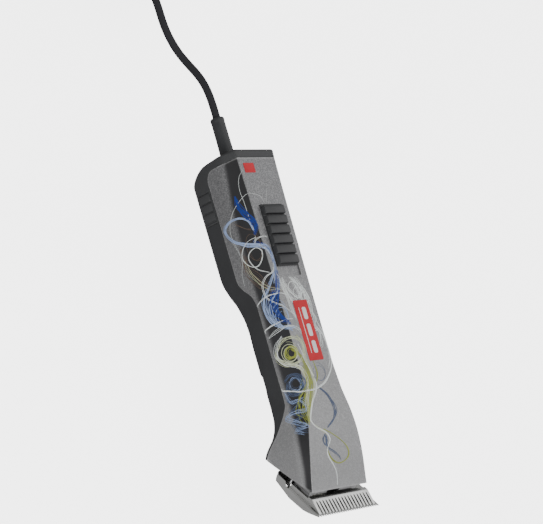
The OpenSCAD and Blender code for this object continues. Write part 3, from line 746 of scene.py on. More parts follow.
def coil_line():
    """The coil's turns: four rows, each wound in or out on the one below."""
    radii = (33.75, 29.25, 24.75, 20.25, 22.5, 27, 31.5, 33.75, 29.25, 24.75, 20.25, 22.5, 27,
             31.5)
    rows = (0, 0, 0, 0, 1, 1, 1, 2, 2, 2, 2, 3, 3, 3)
    row_height, first_height, shift = 3.9, 2.95, 90.0
    starts = (270, 180, 90, 0)                      # where each row's turns change place
    lift = 0.62                                     # of a row where it crosses the one below

    def raised(row, turn):
        total = 0.0
        for k in range(1, row + 1):
            low, high = starts[k], starts[k] + 180
            inside = min(turn - low, high - turn) if low <= turn <= high else -min(
                (low - turn) % 360, (turn - high) % 360)
            total += lift * float(smooth(inside, -16, 4))
        return total

    line = []
    for t in range(0, 4621, 4):
        slot = sum(1 for n in range(13) if t >= 360 * n + starts[rows[n + 1]])
        turn = t % 360
        radius, row = radii[slot], rows[slot]
        height = first_height + row_height * row + raised(row, turn)
        if slot:
            share = min(1.0, (t - 360 * (slot - 1) - starts[row]) / shift)
            if share < 1:
                before = rows[slot - 1]
                low = first_height + row_height * before + raised(before, turn)
                ease = 0.5 - 0.5 * math.cos(math.pi * share)
                climb = ease
                radius = radii[slot - 1] + (radius - radii[slot - 1]) * ease
                if before != row:
                    outward = slot == 7
                    climb = ease ** 2.2 if outward else ease ** 0.8
                    radius += (1.5 if outward else -0.5) * math.sin(math.pi * ease)
                height = low + (height - low) * climb
        a = math.radians(180 - t)
        line.append((COIL_AT[0] + radius * math.cos(a), COIL_AT[1] + radius * math.sin(a),
                     height))
    return line


def cord_line():
    """The whole cord from the relief to the plug, evenly spaced and eased."""
    coil = coil_line()
    line = np.vstack([spline(CORD_ROUTE, 1.0)[:-1], evenly(coil, 1.0)[1:-1],
                      spline([coil[-1], *TAIL_ROUTE], 1.0)])
    line = evenly(line, 1.0)
    for _ in range(24):
        line[1:-1] = 0.25 * line[:-2] + 0.5 * line[1:-1] + 0.25 * line[2:]
    line = evenly(line, 2.2)
    line[:, 2] = np.maximum(line[:, 2], sizes().cord_diameter * 500 + 0.02)
    return line


def strain_relief():
    """Flange inside the cap, a tapered sleeve and a rounded mouth."""
    profile = [(-7, 2.4), (-7, 4.7), (-6.7, 5.0), (-5.5, 5.0), (-5.2, 4.7), (-5.2, 3.15),
               (-1.7, 3.15), (-1.6, 3.4), (-1.6, 4.1), (-1.4, 4.3)]
    for u in np.linspace(0.04, 1, 26):
        profile.append((-1.4 + u * 24.6, 4.3 - 0.42 * u - 0.12 * math.sin(math.pi * u)))
    profile += [(23.5, 3.94), (23.9, 4.0), (25.0, 4.0), (25.5, 3.85), (25.85, 3.5),
                (26.0, 3.1), (26.0, 2.4)]
    return revolved("strain_relief_sleeve", profile, (0, CAP_END, 14), (0, 1, 0), 64)


def cord_strap():
    """A woven strap round the coil's section, with its end lapped over and pressed down."""
    angle = math.radians(-60)
    out = np.array((math.cos(angle), math.sin(angle), 0))
    side = np.array((-math.sin(angle), math.cos(angle), 0))
    low, high, bottom, top, corner = 17.6, 36.5, 0.34, 18.75, 2.6
    loop = []
    for cr, cz, turn in ((high - corner, top - corner, 0), (low + corner, top - corner, 90),
                         (low + corner, bottom + corner, 180),
                         (high - corner, bottom + corner, 270)):
        for k in range(9):
            a = math.radians(turn + 90 * k / 8)
            loop.append((cr + corner * math.cos(a), cz + corner * math.sin(a), math.cos(a),
                         math.sin(a)))

    def ring(r, z, nr, nz, half, thick, off):
        place_of = []
        for w, t in ((-half, -0.6), (-half, 0.6), (-half * 0.93, 1), (half * 0.93, 1),
                     (half, 0.6), (half, -0.6), (half * 0.93, -1), (-half * 0.93, -1)):
            d = off + t * thick / 2
            p = np.array((*COIL_AT, 0)) + out * (r + nr * d) + side * w
            p[2] = z + nz * d
            place_of.append(tuple(p))
        return place_of

    rings = [ring(*p, 4.9, 0.62, 0.0) for p in loop]
    count = len(rings[0])
    strap = new_mesh("cord_strap", np.concatenate([np.array(r) for r in rings + rings[:1]]),
                     grid_faces(len(rings) + 1, count, close=True))
    lap = [ring(*p, 4.6, 0.6, 0.62) for p in loop[3:17]]
    lap[-1] = ring(*loop[16], 4.1, 0.3, 0.5)
    flap = loft("strap_flap", lap)
    return joined(strap, flap)


def plug_body():
    """Flat two-pin plug with a ringed neck and a finger grip on each side."""
    c, s = math.cos(PLUG_TURN), math.sin(PLUG_TURN)
    rings = []
    for x in (0, 0.4, *np.arange(0.9, 12.0, 0.5), 13, 14.5, 16, 18, 20, 22, 24, 26, 28, 30, 32,
              34, 35.4, 36.1, 36.5):
        if x < 12:
            grow = x / 12
            radius = 3.0 + 2.0 * grow - (0.55 if 1.5 < x < 11 and int(x) % 2 else 0)
            radius -= 0.5 * (x < 0.3)
            wide, high, power = radius, radius * 0.97, 2.0
        else:
            grow = float(smooth(x, 11, 21))
            wide = 5 + 8.4 * grow + 4.1 * float(smooth(x, 18, 31))
            wide -= 0.9 * math.exp(-((x - 27) / 4.5) ** 2)
            high = 4.85 + 1.9 * grow
            power = 2 + 2.6 * grow
        if x > 35:
            back = {35.4: 0.15, 36.1: 0.55, 36.5: 1.3}[round(float(x), 1)]
            wide, high = wide - back, high - back
        ring = []
        for a in np.linspace(0, 2 * math.pi, 56, endpoint=False):
            ca, sa = math.cos(a), math.sin(a)
            u = wide * math.copysign(abs(ca) ** (2 / power), ca)
            v = high * math.copysign(abs(sa) ** (2 / power), sa)
            ring.append((PLUG_AT[0] + x * c - u * s, PLUG_AT[1] + x * s + u * c,
                         PLUG_AT[2] + v))
        rings.append(ring)
    body = loft("plug_body", rings)
    tools = []
    for k in range(5):
        x = 22.5 + 2.2 * k
        for way in (-1, 1):
            tool = block(f"grip_{k}", (x, 9.6 + 0.2 * k, -3.4), (x + 0.9, 20, 3.4), 0.4)
            spin = Matrix.Rotation(PLUG_TURN, 4, "Z")
            for v in tool.data.vertices:
                p = np.array(v.co) * 1000 - (0, SHIFT, 0)
                q = spin @ Vector((p[0], p[1] * way, p[2]))
                v.co = place([(PLUG_AT[0] + q.x, PLUG_AT[1] + q.y, PLUG_AT[2] + q.z)])[0]
            if way < 0:
                tool.data.flip_normals()
            tools.append(tool)
    return cut(body, *tools)


def plug_pins():
    """Two round pins with a shallow groove round each and rounded tips."""
    c, s = math.cos(PLUG_TURN), math.sin(PLUG_TURN)
    made = []
    for way in (-1, 1):
        start = (PLUG_AT[0] + 36.0 * c - way * 9.3 * s, PLUG_AT[1] + 36.0 * s + way * 9.3 * c,
                 PLUG_AT[2])
        profile = [(0, 1.9), (0.2, 2.0), (9.5, 2.0), (9.6, 1.9), (10.0, 1.9), (10.1, 2.0),
                   (17.6, 2.0)]
        profile += [(17.6 + 1.9 * math.sin(a), 0.35 + 1.65 * math.cos(a))
                    for a in np.linspace(0.15, math.pi / 2, 7)]
        made.append(revolved(f"pin_{way + 1}", profile, start, (c, s, 0), 40))
    made[0].name = "plug_pins_turned"
    return joined(made[0], made[1])


class CLIPPER_OT_camera(bpy.types.Operator):
    """Set the camera that looks along the clipper from its left and rear"""

    bl_idname = "clipper.camera"
    bl_label = "Camera"

    def execute(self, context):
        azimuth, elevation, roll = (math.radians(a) for a in (-75.113, 40.168, 63.997))
        back = Vector((math.sin(azimuth) * math.cos(elevation),
                       -math.cos(azimuth) * math.cos(elevation), math.sin(elevation)))
        level = Vector((0, 0, 1)).cross(back).normalized()
        rise = back.cross(level)
        right = level * math.cos(roll) + rise * math.sin(roll)
        up = -level * math.sin(roll) + rise * math.cos(roll)
        lens = bpy.data.cameras.new("clipper_camera")
        lens.sensor_fit = "HORIZONTAL"
        lens.sensor_width = 36.0
        lens.lens = 140.04
        lens.clip_start = 0.05
        lens.clip_end = 30.0
        camera = bpy.data.objects.new("clipper_camera", lens)
        context.scene.collection.objects.link(camera)
        camera.matrix_world = Matrix.Translation((-0.85052, -0.18620, 0.76597)) @ Matrix(
            (right, up, back)).transposed().to_4x4()
        context.scene.camera = camera
        return {"FINISHED"}


class CLIPPER_OT_cord(bpy.types.Operator):
    """Lay the cord with its strain relief, coil, strap and plug"""

    bl_idname = "clipper.cord"
    bl_label = "Cord and plug"

    def execute(self, context):
        line = place(cord_line())
        data = bpy.data.curves.new("cord_flex", "CURVE")
        data.dimensions = "3D"
        data.bevel_depth = sizes().cord_diameter / 2
        data.bevel_resolution = 4
        data.use_fill_caps = True
        run = data.splines.new("POLY")
        run.points.add(len(line) - 1)
        run.points.foreach_set("co", np.hstack([line, np.ones((len(line), 1))]).ravel())
        run.use_smooth = True
        flex = bpy.data.objects.new("cord_flex", data)
        context.scene.collection.objects.link(flex)
        rubber = moulded("cord_rubber", colours().rubber, (0.42, 0.55), (700.0, 0.12), 0.1,
                         0.3)
        data.materials.append(rubber)
        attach(flex, HOUSING)
        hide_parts("cord", "cord_coil", "cord_tail")
        relief = finished(strain_relief(), HOUSING, moulded(
            "relief_rubber", np.array(colours().rubber) * 1.25, (0.4, 0.52), (900.0, 0.15)),
            "cord_rubber", "strain_relief")
        strap = finished(cord_strap(), HOUSING, banded(
            "strap_weave", (0.008, 0.008, 0.009), (0.03, 0.03, 0.032), 420.0, "Z", 0.8),
            "tie", "cord_tie")
        body = finished(plug_body(), HOUSING, moulded(
            "plug_rubber", np.array(colours().rubber) * 1.1, (0.38, 0.5), (800.0, 0.12)),
            "plug", "plug")
        pins = finished(plug_pins(), HOUSING, metal(
            "pin_nickel", (0.62, 0.61, 0.58), (0.16, 0.28), (900.0, 900.0, 900.0), 0.05),
            "pin", "plug_pins")
        tuple(place([CORD_ROUTE[0]])[0])
        return {"FINISHED"}


# ---------------------------------------------------------------- shells and cap

def paint_dark_bevel_and_reflection(piece):
    """Marks the dark bevels, near-black paint and painted dark reflection: crisp at the face's
    edge, soft towards the side wall.
    """
    co = np.zeros(len(piece.data.vertices) * 3)
    piece.data.vertices.foreach_get("co", co)
    x, y, z = (co.reshape(-1, 3) * 1000 - (0, SHIFT, 0)).T
    side, bevel = eased(SIDE_HALF, y), eased(BEVEL_HEIGHT, y)
    face, top = eased(FACE_HALF, y), eased(FACE_HEIGHT, y)
    run, rise = face - side, top - bevel
    length = np.hypot(run, rise)
    share = ((np.abs(x) - side) * run + (z - bevel) * rise) / length ** 2
    # The band starts at the side wall behind the waist, and narrows to a strip at the head
    start = 0.30 - 0.30 * smooth(y, 14, 60) + 0.14 * smooth(y, 150, 196)
    soft = 3.4 / length
    from_side = smooth(share, start - soft * 0.35, start + soft * 0.65)
    to_edge = (1 - share) * length
    crisp = smooth(to_edge, 0.35, 0.6)
    inside = np.where(z < eased(JOINT_HEIGHT, y) - 0.01, 0, 1)
    # On the right the dark paint and painted reflection end behind the head
    painted = np.where((x > 0) & (y < RIGHT_DARK_END), 0.0, 1.0)
    tone = from_side * crisp * inside * painted * (share < 1.02)
    layer = piece.data.attributes.new("tone", "FLOAT", "POINT")
    layer.data.foreach_set("value", tone.astype(np.float32))


def front_shell():
    """Front shell: one wall from the slanted head cut to the cap, with the slider's pocket."""
    gap = sizes().joint_gap * 500
    stations = 150

    def walls(inset):
        def outline(y):
            half = upper_half(y, inset)
            half[..., 1] = np.maximum(half[..., 1], eased(JOINT_HEIGHT, y)[:, None] + gap)
            return mirrored(half)
        lines = outline(np.array([50.0])).shape[1]
        start = line_limits(outline, lines, lambda z: HEAD_CUT[0] + (HEAD_CUT[1] - z)
                            / HEAD_CUT[2], 25)
        heights, ends = np.array(SHELL_END).T
        end = line_limits(outline, lines, lambda z: np.interp(z + 2 * gap, heights, ends), 197)
        share = np.linspace(0, 1, stations)
        share = share - 0.03 * np.sin(2 * np.pi * share)
        return on_lines(outline, start + (end - start) * share[:, None])

    shell = rounded(wall_mesh("front_shell_moulding", walls(0.0), walls(WALL)),
                    sizes().rim_round * 1000, 50)
    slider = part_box("switch_slider")
    back = slider[1].y * 1000 - SHIFT
    pocket = block("pocket", (-8.8, 130.4, FACE_TOP - 0.8), (8.8, back + 0.4, FACE_TOP + 4),
                   0.8)
    slot = block("slot", (-4, 142.5, FACE_TOP - 8), (4, 158.8, FACE_TOP + 3), 0.6)
    shell = cut(shell, joined_tool(pocket, slot))
    bosses = []
    for x, y in SCREW_SPOTS:
        top = float(eased(BEVEL_HEIGHT, y)) - 0.6
        bosses.append(revolved("boss", [(0, 1.46), (0, 2.5), (0.2, 2.7), (top - 22.02, 2.7),
                                        (top - 22.02, 1.46)], (x, y, 22.02), (0, 0, 1), 24))
        carve_tube(bosses[-1])
    shell = joined(shell, *bosses)
    paint_dark_bevel_and_reflection(shell)
    return shell


def joined_tool(first, second):
    """Two tools as one, welded so that they cut together."""
    step = first.modifiers.new("union", "BOOLEAN")
    step.operation = "UNION"
    step.solver = "EXACT"
    step.object = second
    made_solid(first)
    bpy.data.objects.remove(second)
    return first


def carve_tube(piece):
    """Opens a turned form into a tube: its first and last discs go, and a bore joins them."""
    shape = bmesh.new()
    shape.from_mesh(piece.data)
    ends = sorted(shape.faces, key=lambda f: -len(f.verts))[:2]
    loops = [list(f.verts) for f in ends]
    bmesh.ops.delete(shape, geom=ends, context="FACES_ONLY")
    edges = [e for e in shape.edges if e.is_boundary]
    bmesh.ops.bridge_loops(shape, edges=edges)
    bmesh.ops.recalc_face_normals(shape, faces=shape.faces)
    if len(loops) != 2:
        raise RuntimeError("a boss has no ends")
    shape.to_mesh(piece.data)
    shape.free()


def rear_shell():
    """Rear shell: a trough with its screw bosses and deep recesses."""
    gap = sizes().joint_gap * 500
    y = HEEL_Y + (MODULE_Y - 0.15 - HEEL_Y) * np.linspace(0, 1, 120)

    def wall_at(inset):
        whole = mirrored(lower_half(y, inset, gap))
        return np.dstack([whole[..., 0], np.repeat(y[:, None], whole.shape[1], axis=1),
                          whole[..., 1]])

    shell = rounded(wall_mesh("rear_shell_moulding", wall_at(0.0), wall_at(WALL)),
                    sizes().rim_round * 1000, 50)
    tools, bosses = [], []
    for x, at in SCREW_SPOTS:
        low, high = float(rear_level(at)), float(eased(JOINT_HEIGHT, at - 3))
        base = float(eased(REAR_HEIGHT, at))
        tools.append(revolved("recess", [(-3, 2.6), (base - low + 2.5, 2.6)], (x, at, low),
                              (0, 0, 1), 32))
        boss = revolved("boss", [(0, 1.46), (0, 3.2), (high - base - 2.7, 3.2),
                                 (high - base - 2.7, 1.46)], (x, at, base + 2.5), (0, 0, 1), 24)
        carve_tube(boss)
        bosses.append(boss)
    shell = cut(shell, *tools)
    return joined(shell, *bosses)


def screws():
    """Blackened housing screws with cross recesses in their heads."""
    made = []
    for x, y in SCREW_SPOTS:
        low = float(eased(REAR_HEIGHT, y))
        screw = revolved("screw", [(0.75, 0.0), (0.6, 1.5), (0.75, 2.2), (1.0, 2.4),
                                   (2.35, 2.4), (2.46, 2.3), (2.46, 1.4),
                                   (22 - low + 1.8, 1.4), (22 - low + 2.3, 0.9)],
                         (x, y, low), (0, 0, 1), 32)
        tools = [block("bar", (x - 1.25, y - 0.25, low - 1), (x + 1.25, y + 0.25, low + 1.5)),
                 block("bar2", (x - 0.25, y - 1.25, low - 1), (x + 0.25, y + 1.25, low + 1.5))]
        made.append(cut(screw, joined_tool(*tools)))
    made[0].name = "housing_screws_turned"
    return joined(made[0], *made[1:])


def end_lean(z):
    """How far the cap's end face leans back at each height."""
    z = np.asarray(z, float)
    return np.where(z > 26, (33.7 - z) * 0.12,
                    np.where(z > 14, 0.92 + (26 - z) * 0.07,
                             1.76 + (14 - z) * 0.12 + 8 * np.clip(1 - z / 14, 0, 1) ** 2.2))


def end_cap():
    """Cap: a trough under the front shell that rises into the full end behind it."""
    gap = sizes().joint_gap * 1000
    heights, ends = np.array(SHELL_END).T
    stations = np.concatenate([np.linspace(MODULE_Y + 0.1, 189.6, 24),
                               190 + 9.35 * np.linspace(0, 1, 40) ** 1.15,
                               [200, 201, CAP_LAST]])

    def half(y):
        low = lower_half(y)[:, ::-1]
        return np.concatenate([low, upper_half(y)], axis=1)

    rings = []
    for y in stations:
        points = half(np.array([y]))[0]
        top = 12.9 - gap if y < 190 + gap else float(np.interp(y - gap, ends, heights))
        if y > 199.3:
            top = 40.0
        points[:, 1] = np.minimum(points[:, 1], top)
        reach = CAP_END - end_lean(points[:, 1]) - 1.2 - MODULE_Y
        along = np.where(points[:, 1] < 13, (y - MODULE_Y) * reach
                         / (CAP_LAST - MODULE_Y), y - MODULE_Y)
        rings.append(np.stack([points[:, 0], MODULE_Y + along, points[:, 1]], axis=1))
    last = half(np.array([203.0]))[0]
    for a in np.linspace(0, 90, 6):
        back, inset = 1.1 * (1 - math.sin(math.radians(a))), 1 - 0.055 * (
            1 - math.cos(math.radians(a)))
        p = last.copy()
        p[:, 0] *= inset
        p[:, 1] = 16 + (p[:, 1] - 16) * (1 - (1 - inset) * 0.7)
        rings.append(np.stack([p[:, 0], CAP_END - end_lean(last[:, 1]) - back, p[:, 1]],
                              axis=1))
    rows, count = len(rings), len(rings[0])
    right = np.concatenate(rings)
    left = right * (-1, 1, 1)
    total = rows * count
    faces = grid_faces(rows, count)
    faces += [tuple(v + total for v in reversed(f)) for f in grid_faces(rows, count)]
    for j in (0, rows - 1):
        for i in range(count - 1):
            a = j * count + i
            faces.append((a, a + 1, a + 1 + total, a + total))
    cap = new_mesh("end_cap_moulding", np.concatenate([right, left]), faces)
    side = float(eased(SIDE_HALF, MODULE_Y)) - WALL
    outline = [(side - 4, 2), (side - 1.2, 3.2), (side, 6), (side, 20), (-side, 20),
               (-side, 6), (-side + 1.2, 3.2), (-side + 4, 2)]
    hollow = loft("hollow", [[(x, y, z) for x, z in outline] for y in (168.5, 195.0)])
    bore = revolved("bore", [(-10, 5.1), (-5.1, 5.1), (-5.1, 3.2), (3, 3.2)],
                    (0, CAP_END, 14), (0, 1, 0), 48)
    windows = [block("window", (min(s * 16, s * 24), BUTTON_AT[0] - 8.5, BUTTON_AT[1] - 4.5),
                     (max(s * 16, s * 24), BUTTON_AT[0] + 8.5, BUTTON_AT[1] + 4.5))
               for s in (-1, 1)]
    cap = cut(cap, hollow, bore, *windows)
    return rounded(cap, 0.22, 48)


class CLIPPER_OT_shells(bpy.types.Operator):
    """Mould the front shell, the rear shell with its screws, and the cap"""

    bl_idname = "clipper.shells"
    bl_label = "Shells and cap"

    def execute(self, context):
        finished(front_shell(), HOUSING, lacquer(), "front_shell", "front_shell")
        finished(rear_shell(), HOUSING, moulded("rear_plastic", colours().charcoal,
                                                (0.5, 0.62), (1100.0, 0.3)),
                 "rear_shell", "rear_shell")
        finished(end_cap(), HOUSING, moulded("cap_plastic", colours().cap_grey, (0.48, 0.6),
                                             (1100.0, 0.3)), "end_cap", "end_cap")
        finished(screws(), HOUSING, metal("black_screw", (0.12, 0.12, 0.125), (0.35, 0.5)),
                 "screw", "housing_screws")
        return {"FINISHED"}


# ---------------------------------------------------------------- switch, buttons, label

def ridged(name, profile, base, across, lifts, flange, put):
    """A pad with ridges: a profile of (along, height), lowered to its flange at both sides."""
    rings = []
    for w, lift in zip(across, lifts):
        ring = [put(a, w, flange + (h - flange) * lift) for a, h in profile]
        ring += [put(profile[-1][0], w, base), put(profile[0][0], w, base)]
        rings.append(ring)
    return loft(name, rings)


def ridge_profile(start, pitch, length, count, floor, top, end):
    points = [(start, floor)]
    for k in range(count):
        a, b = start + 0.5 + k * pitch, start + 0.5 + k * pitch + length
        points += [(a, floor), (a + 0.12, top - 0.35), (a + 0.3, top - 0.1),
                   (a + 0.6, top), (b - 0.6, top), (b - 0.3, top - 0.1), (b - 0.12, top - 0.35),
                   (b, floor)]
    points.append((end, floor))
    return points


def switch_slider():
    """Sliding switch: six broad ribs on a thin skirt, a little narrower towards the head."""
    low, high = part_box("switch_slider")
    y0, y1 = low.y * 1000 - SHIFT, high.y * 1000 - SHIFT
    half = high.x * 1000
    pitch = (y1 - y0 - 0.6) / 6

    def put(a, w, h):
        taper = 0.965 + 0.065 * (a - y0) / (y1 - y0)
        return (w * taper, a, h)

    profile = ridge_profile(y0, pitch, pitch - 0.85, 6, FACE_TOP + 0.72, high.z * 1000,
                            y1)
    across = (-half, -half + 0.42, -half + 0.5, -half + 0.75, 0, half - 0.75, half - 0.5,
              half - 0.42, half)
    pad = ridged("switch_slider_pad", profile, FACE_TOP - 0.5, across,
                 (0, 0, 0.75, 1, 1.03, 1, 0.75, 0, 0), FACE_TOP + 0.7, put)
    pad = rounded(pad, 0.12, 50)
    tongue = block("tongue", (-3.85, 148.4, FACE_TOP - 4), (3.85, 158.4, FACE_TOP), 0.4)
    return joined(pad, tongue)


def release_button(side):
    """Ribbed release button; side is -1 for the left one."""
    y0, y1 = BUTTON_AT[0] - 8.35, BUTTON_AT[0] + 8.35
    face = float(eased(SIDE_HALF, BUTTON_AT[0]))

    def put(a, w, h):
        return (side * h, a, BUTTON_AT[1] + w)

    profile = ridge_profile(y0 + 0.1, 5.4, 4.75, 3, face - 0.12, face + 0.7, y1)
    half = 4.35
    pad = ridged(f"release_pad_{'left' if side < 0 else 'right'}", profile, face - 2.9,
                 (-half, -half + 0.12, -half + 0.3, -half + 0.7, half - 0.7, half - 0.3,
                  half - 0.12, half), (0, 0, 0.8, 1, 1, 0.8, 0, 0), face - 0.12, put)
    pad = rounded(pad, 0.1, 50)
    flange = block("flange", (min(side * (face - 3.3), side * (face - 2.1)), y0 - 1,
                              BUTTON_AT[1] - 1.2),
                   (max(side * (face - 3.3), side * (face - 2.1)), y1 + 1, BUTTON_AT[1] + 4.8),
                   0.3)
    return joined(pad, flange)


def thin_plate(name, centre, size, height, corner):
    """A plate on the front face with round corners and a softened upper edge."""
    rings = []
    for z, back in ((0.01, 0), (height * 0.6, 0), (height, height * 0.5)):
        ring = []
        for cx, cy, turn in ((1, 1, 0), (-1, 1, 90), (-1, -1, 180), (1, -1, 270)):
            for k in range(7):
                a = math.radians(turn + 15 * k)
                ring.append((centre[0] + cx * (size[0] / 2 - corner)
                             + (corner - back) * math.cos(a),
                             centre[1] + cy * (size[1] / 2 - corner)
                             + (corner - back) * math.sin(a), FACE_TOP + z))
        rings.append(ring)
    return loft(name, rings)


class CLIPPER_OT_controls(bpy.types.Operator):
    """Make the switch slider and the two release buttons"""

    bl_idname = "clipper.controls"
    bl_label = "Switch and buttons"

    def execute(self, context):
        finished(switch_slider(), "switch", moulded(
            "switch_plastic", colours().switch_grey, (0.4, 0.5), (1000.0, 0.22), 0.35),
            "switch", "switch_slider")
        look = moulded("cap_plastic", colours().cap_grey)
        for side, name in ((-1, "left"), (1, "right")):
            finished(release_button(side), f"{name}_button", look, "button",
                     f"release_button_{name}")
        return {"FINISHED"}


class CLIPPER_OT_labels(bpy.types.Operator):
    """Put the blank red label and the small emblem plate on the front face"""

    bl_idname = "clipper.labels"
    bl_label = "Label and emblem"

    def execute(self, context):
        red = printed("label_print", colours().label_red, 0.5)
        white = printed("label_bar", (0.8, 0.8, 0.8), 0.35)
        finished(thin_plate("label_panel", LABEL_AT, (11.2, 34), 0.28, 0.6), HOUSING, red,
                 "label", "label_plate")
        finished(thin_plate("emblem_panel", EMBLEM_AT, (8.2, 5.6), 0.22, 0.5), HOUSING, red,
                 "label", "emblem_plate")
        bars = [thin_plate("label_bars", (LABEL_AT[0] + 1.2, LABEL_AT[1] - 9.5 + 9.5 * k),
                           (3.4, 7.2), 0.32, 1.2) for k in range(3)]
        bars.append(thin_plate("label_rule", (LABEL_AT[0] - 2.6, LABEL_AT[1]), (0.7, 26), 0.32,
                               0.3))
        finished(joined(*bars), HOUSING, white, None)
        return {"FINISHED"}


# ---------------------------------------------------------------- printed lines

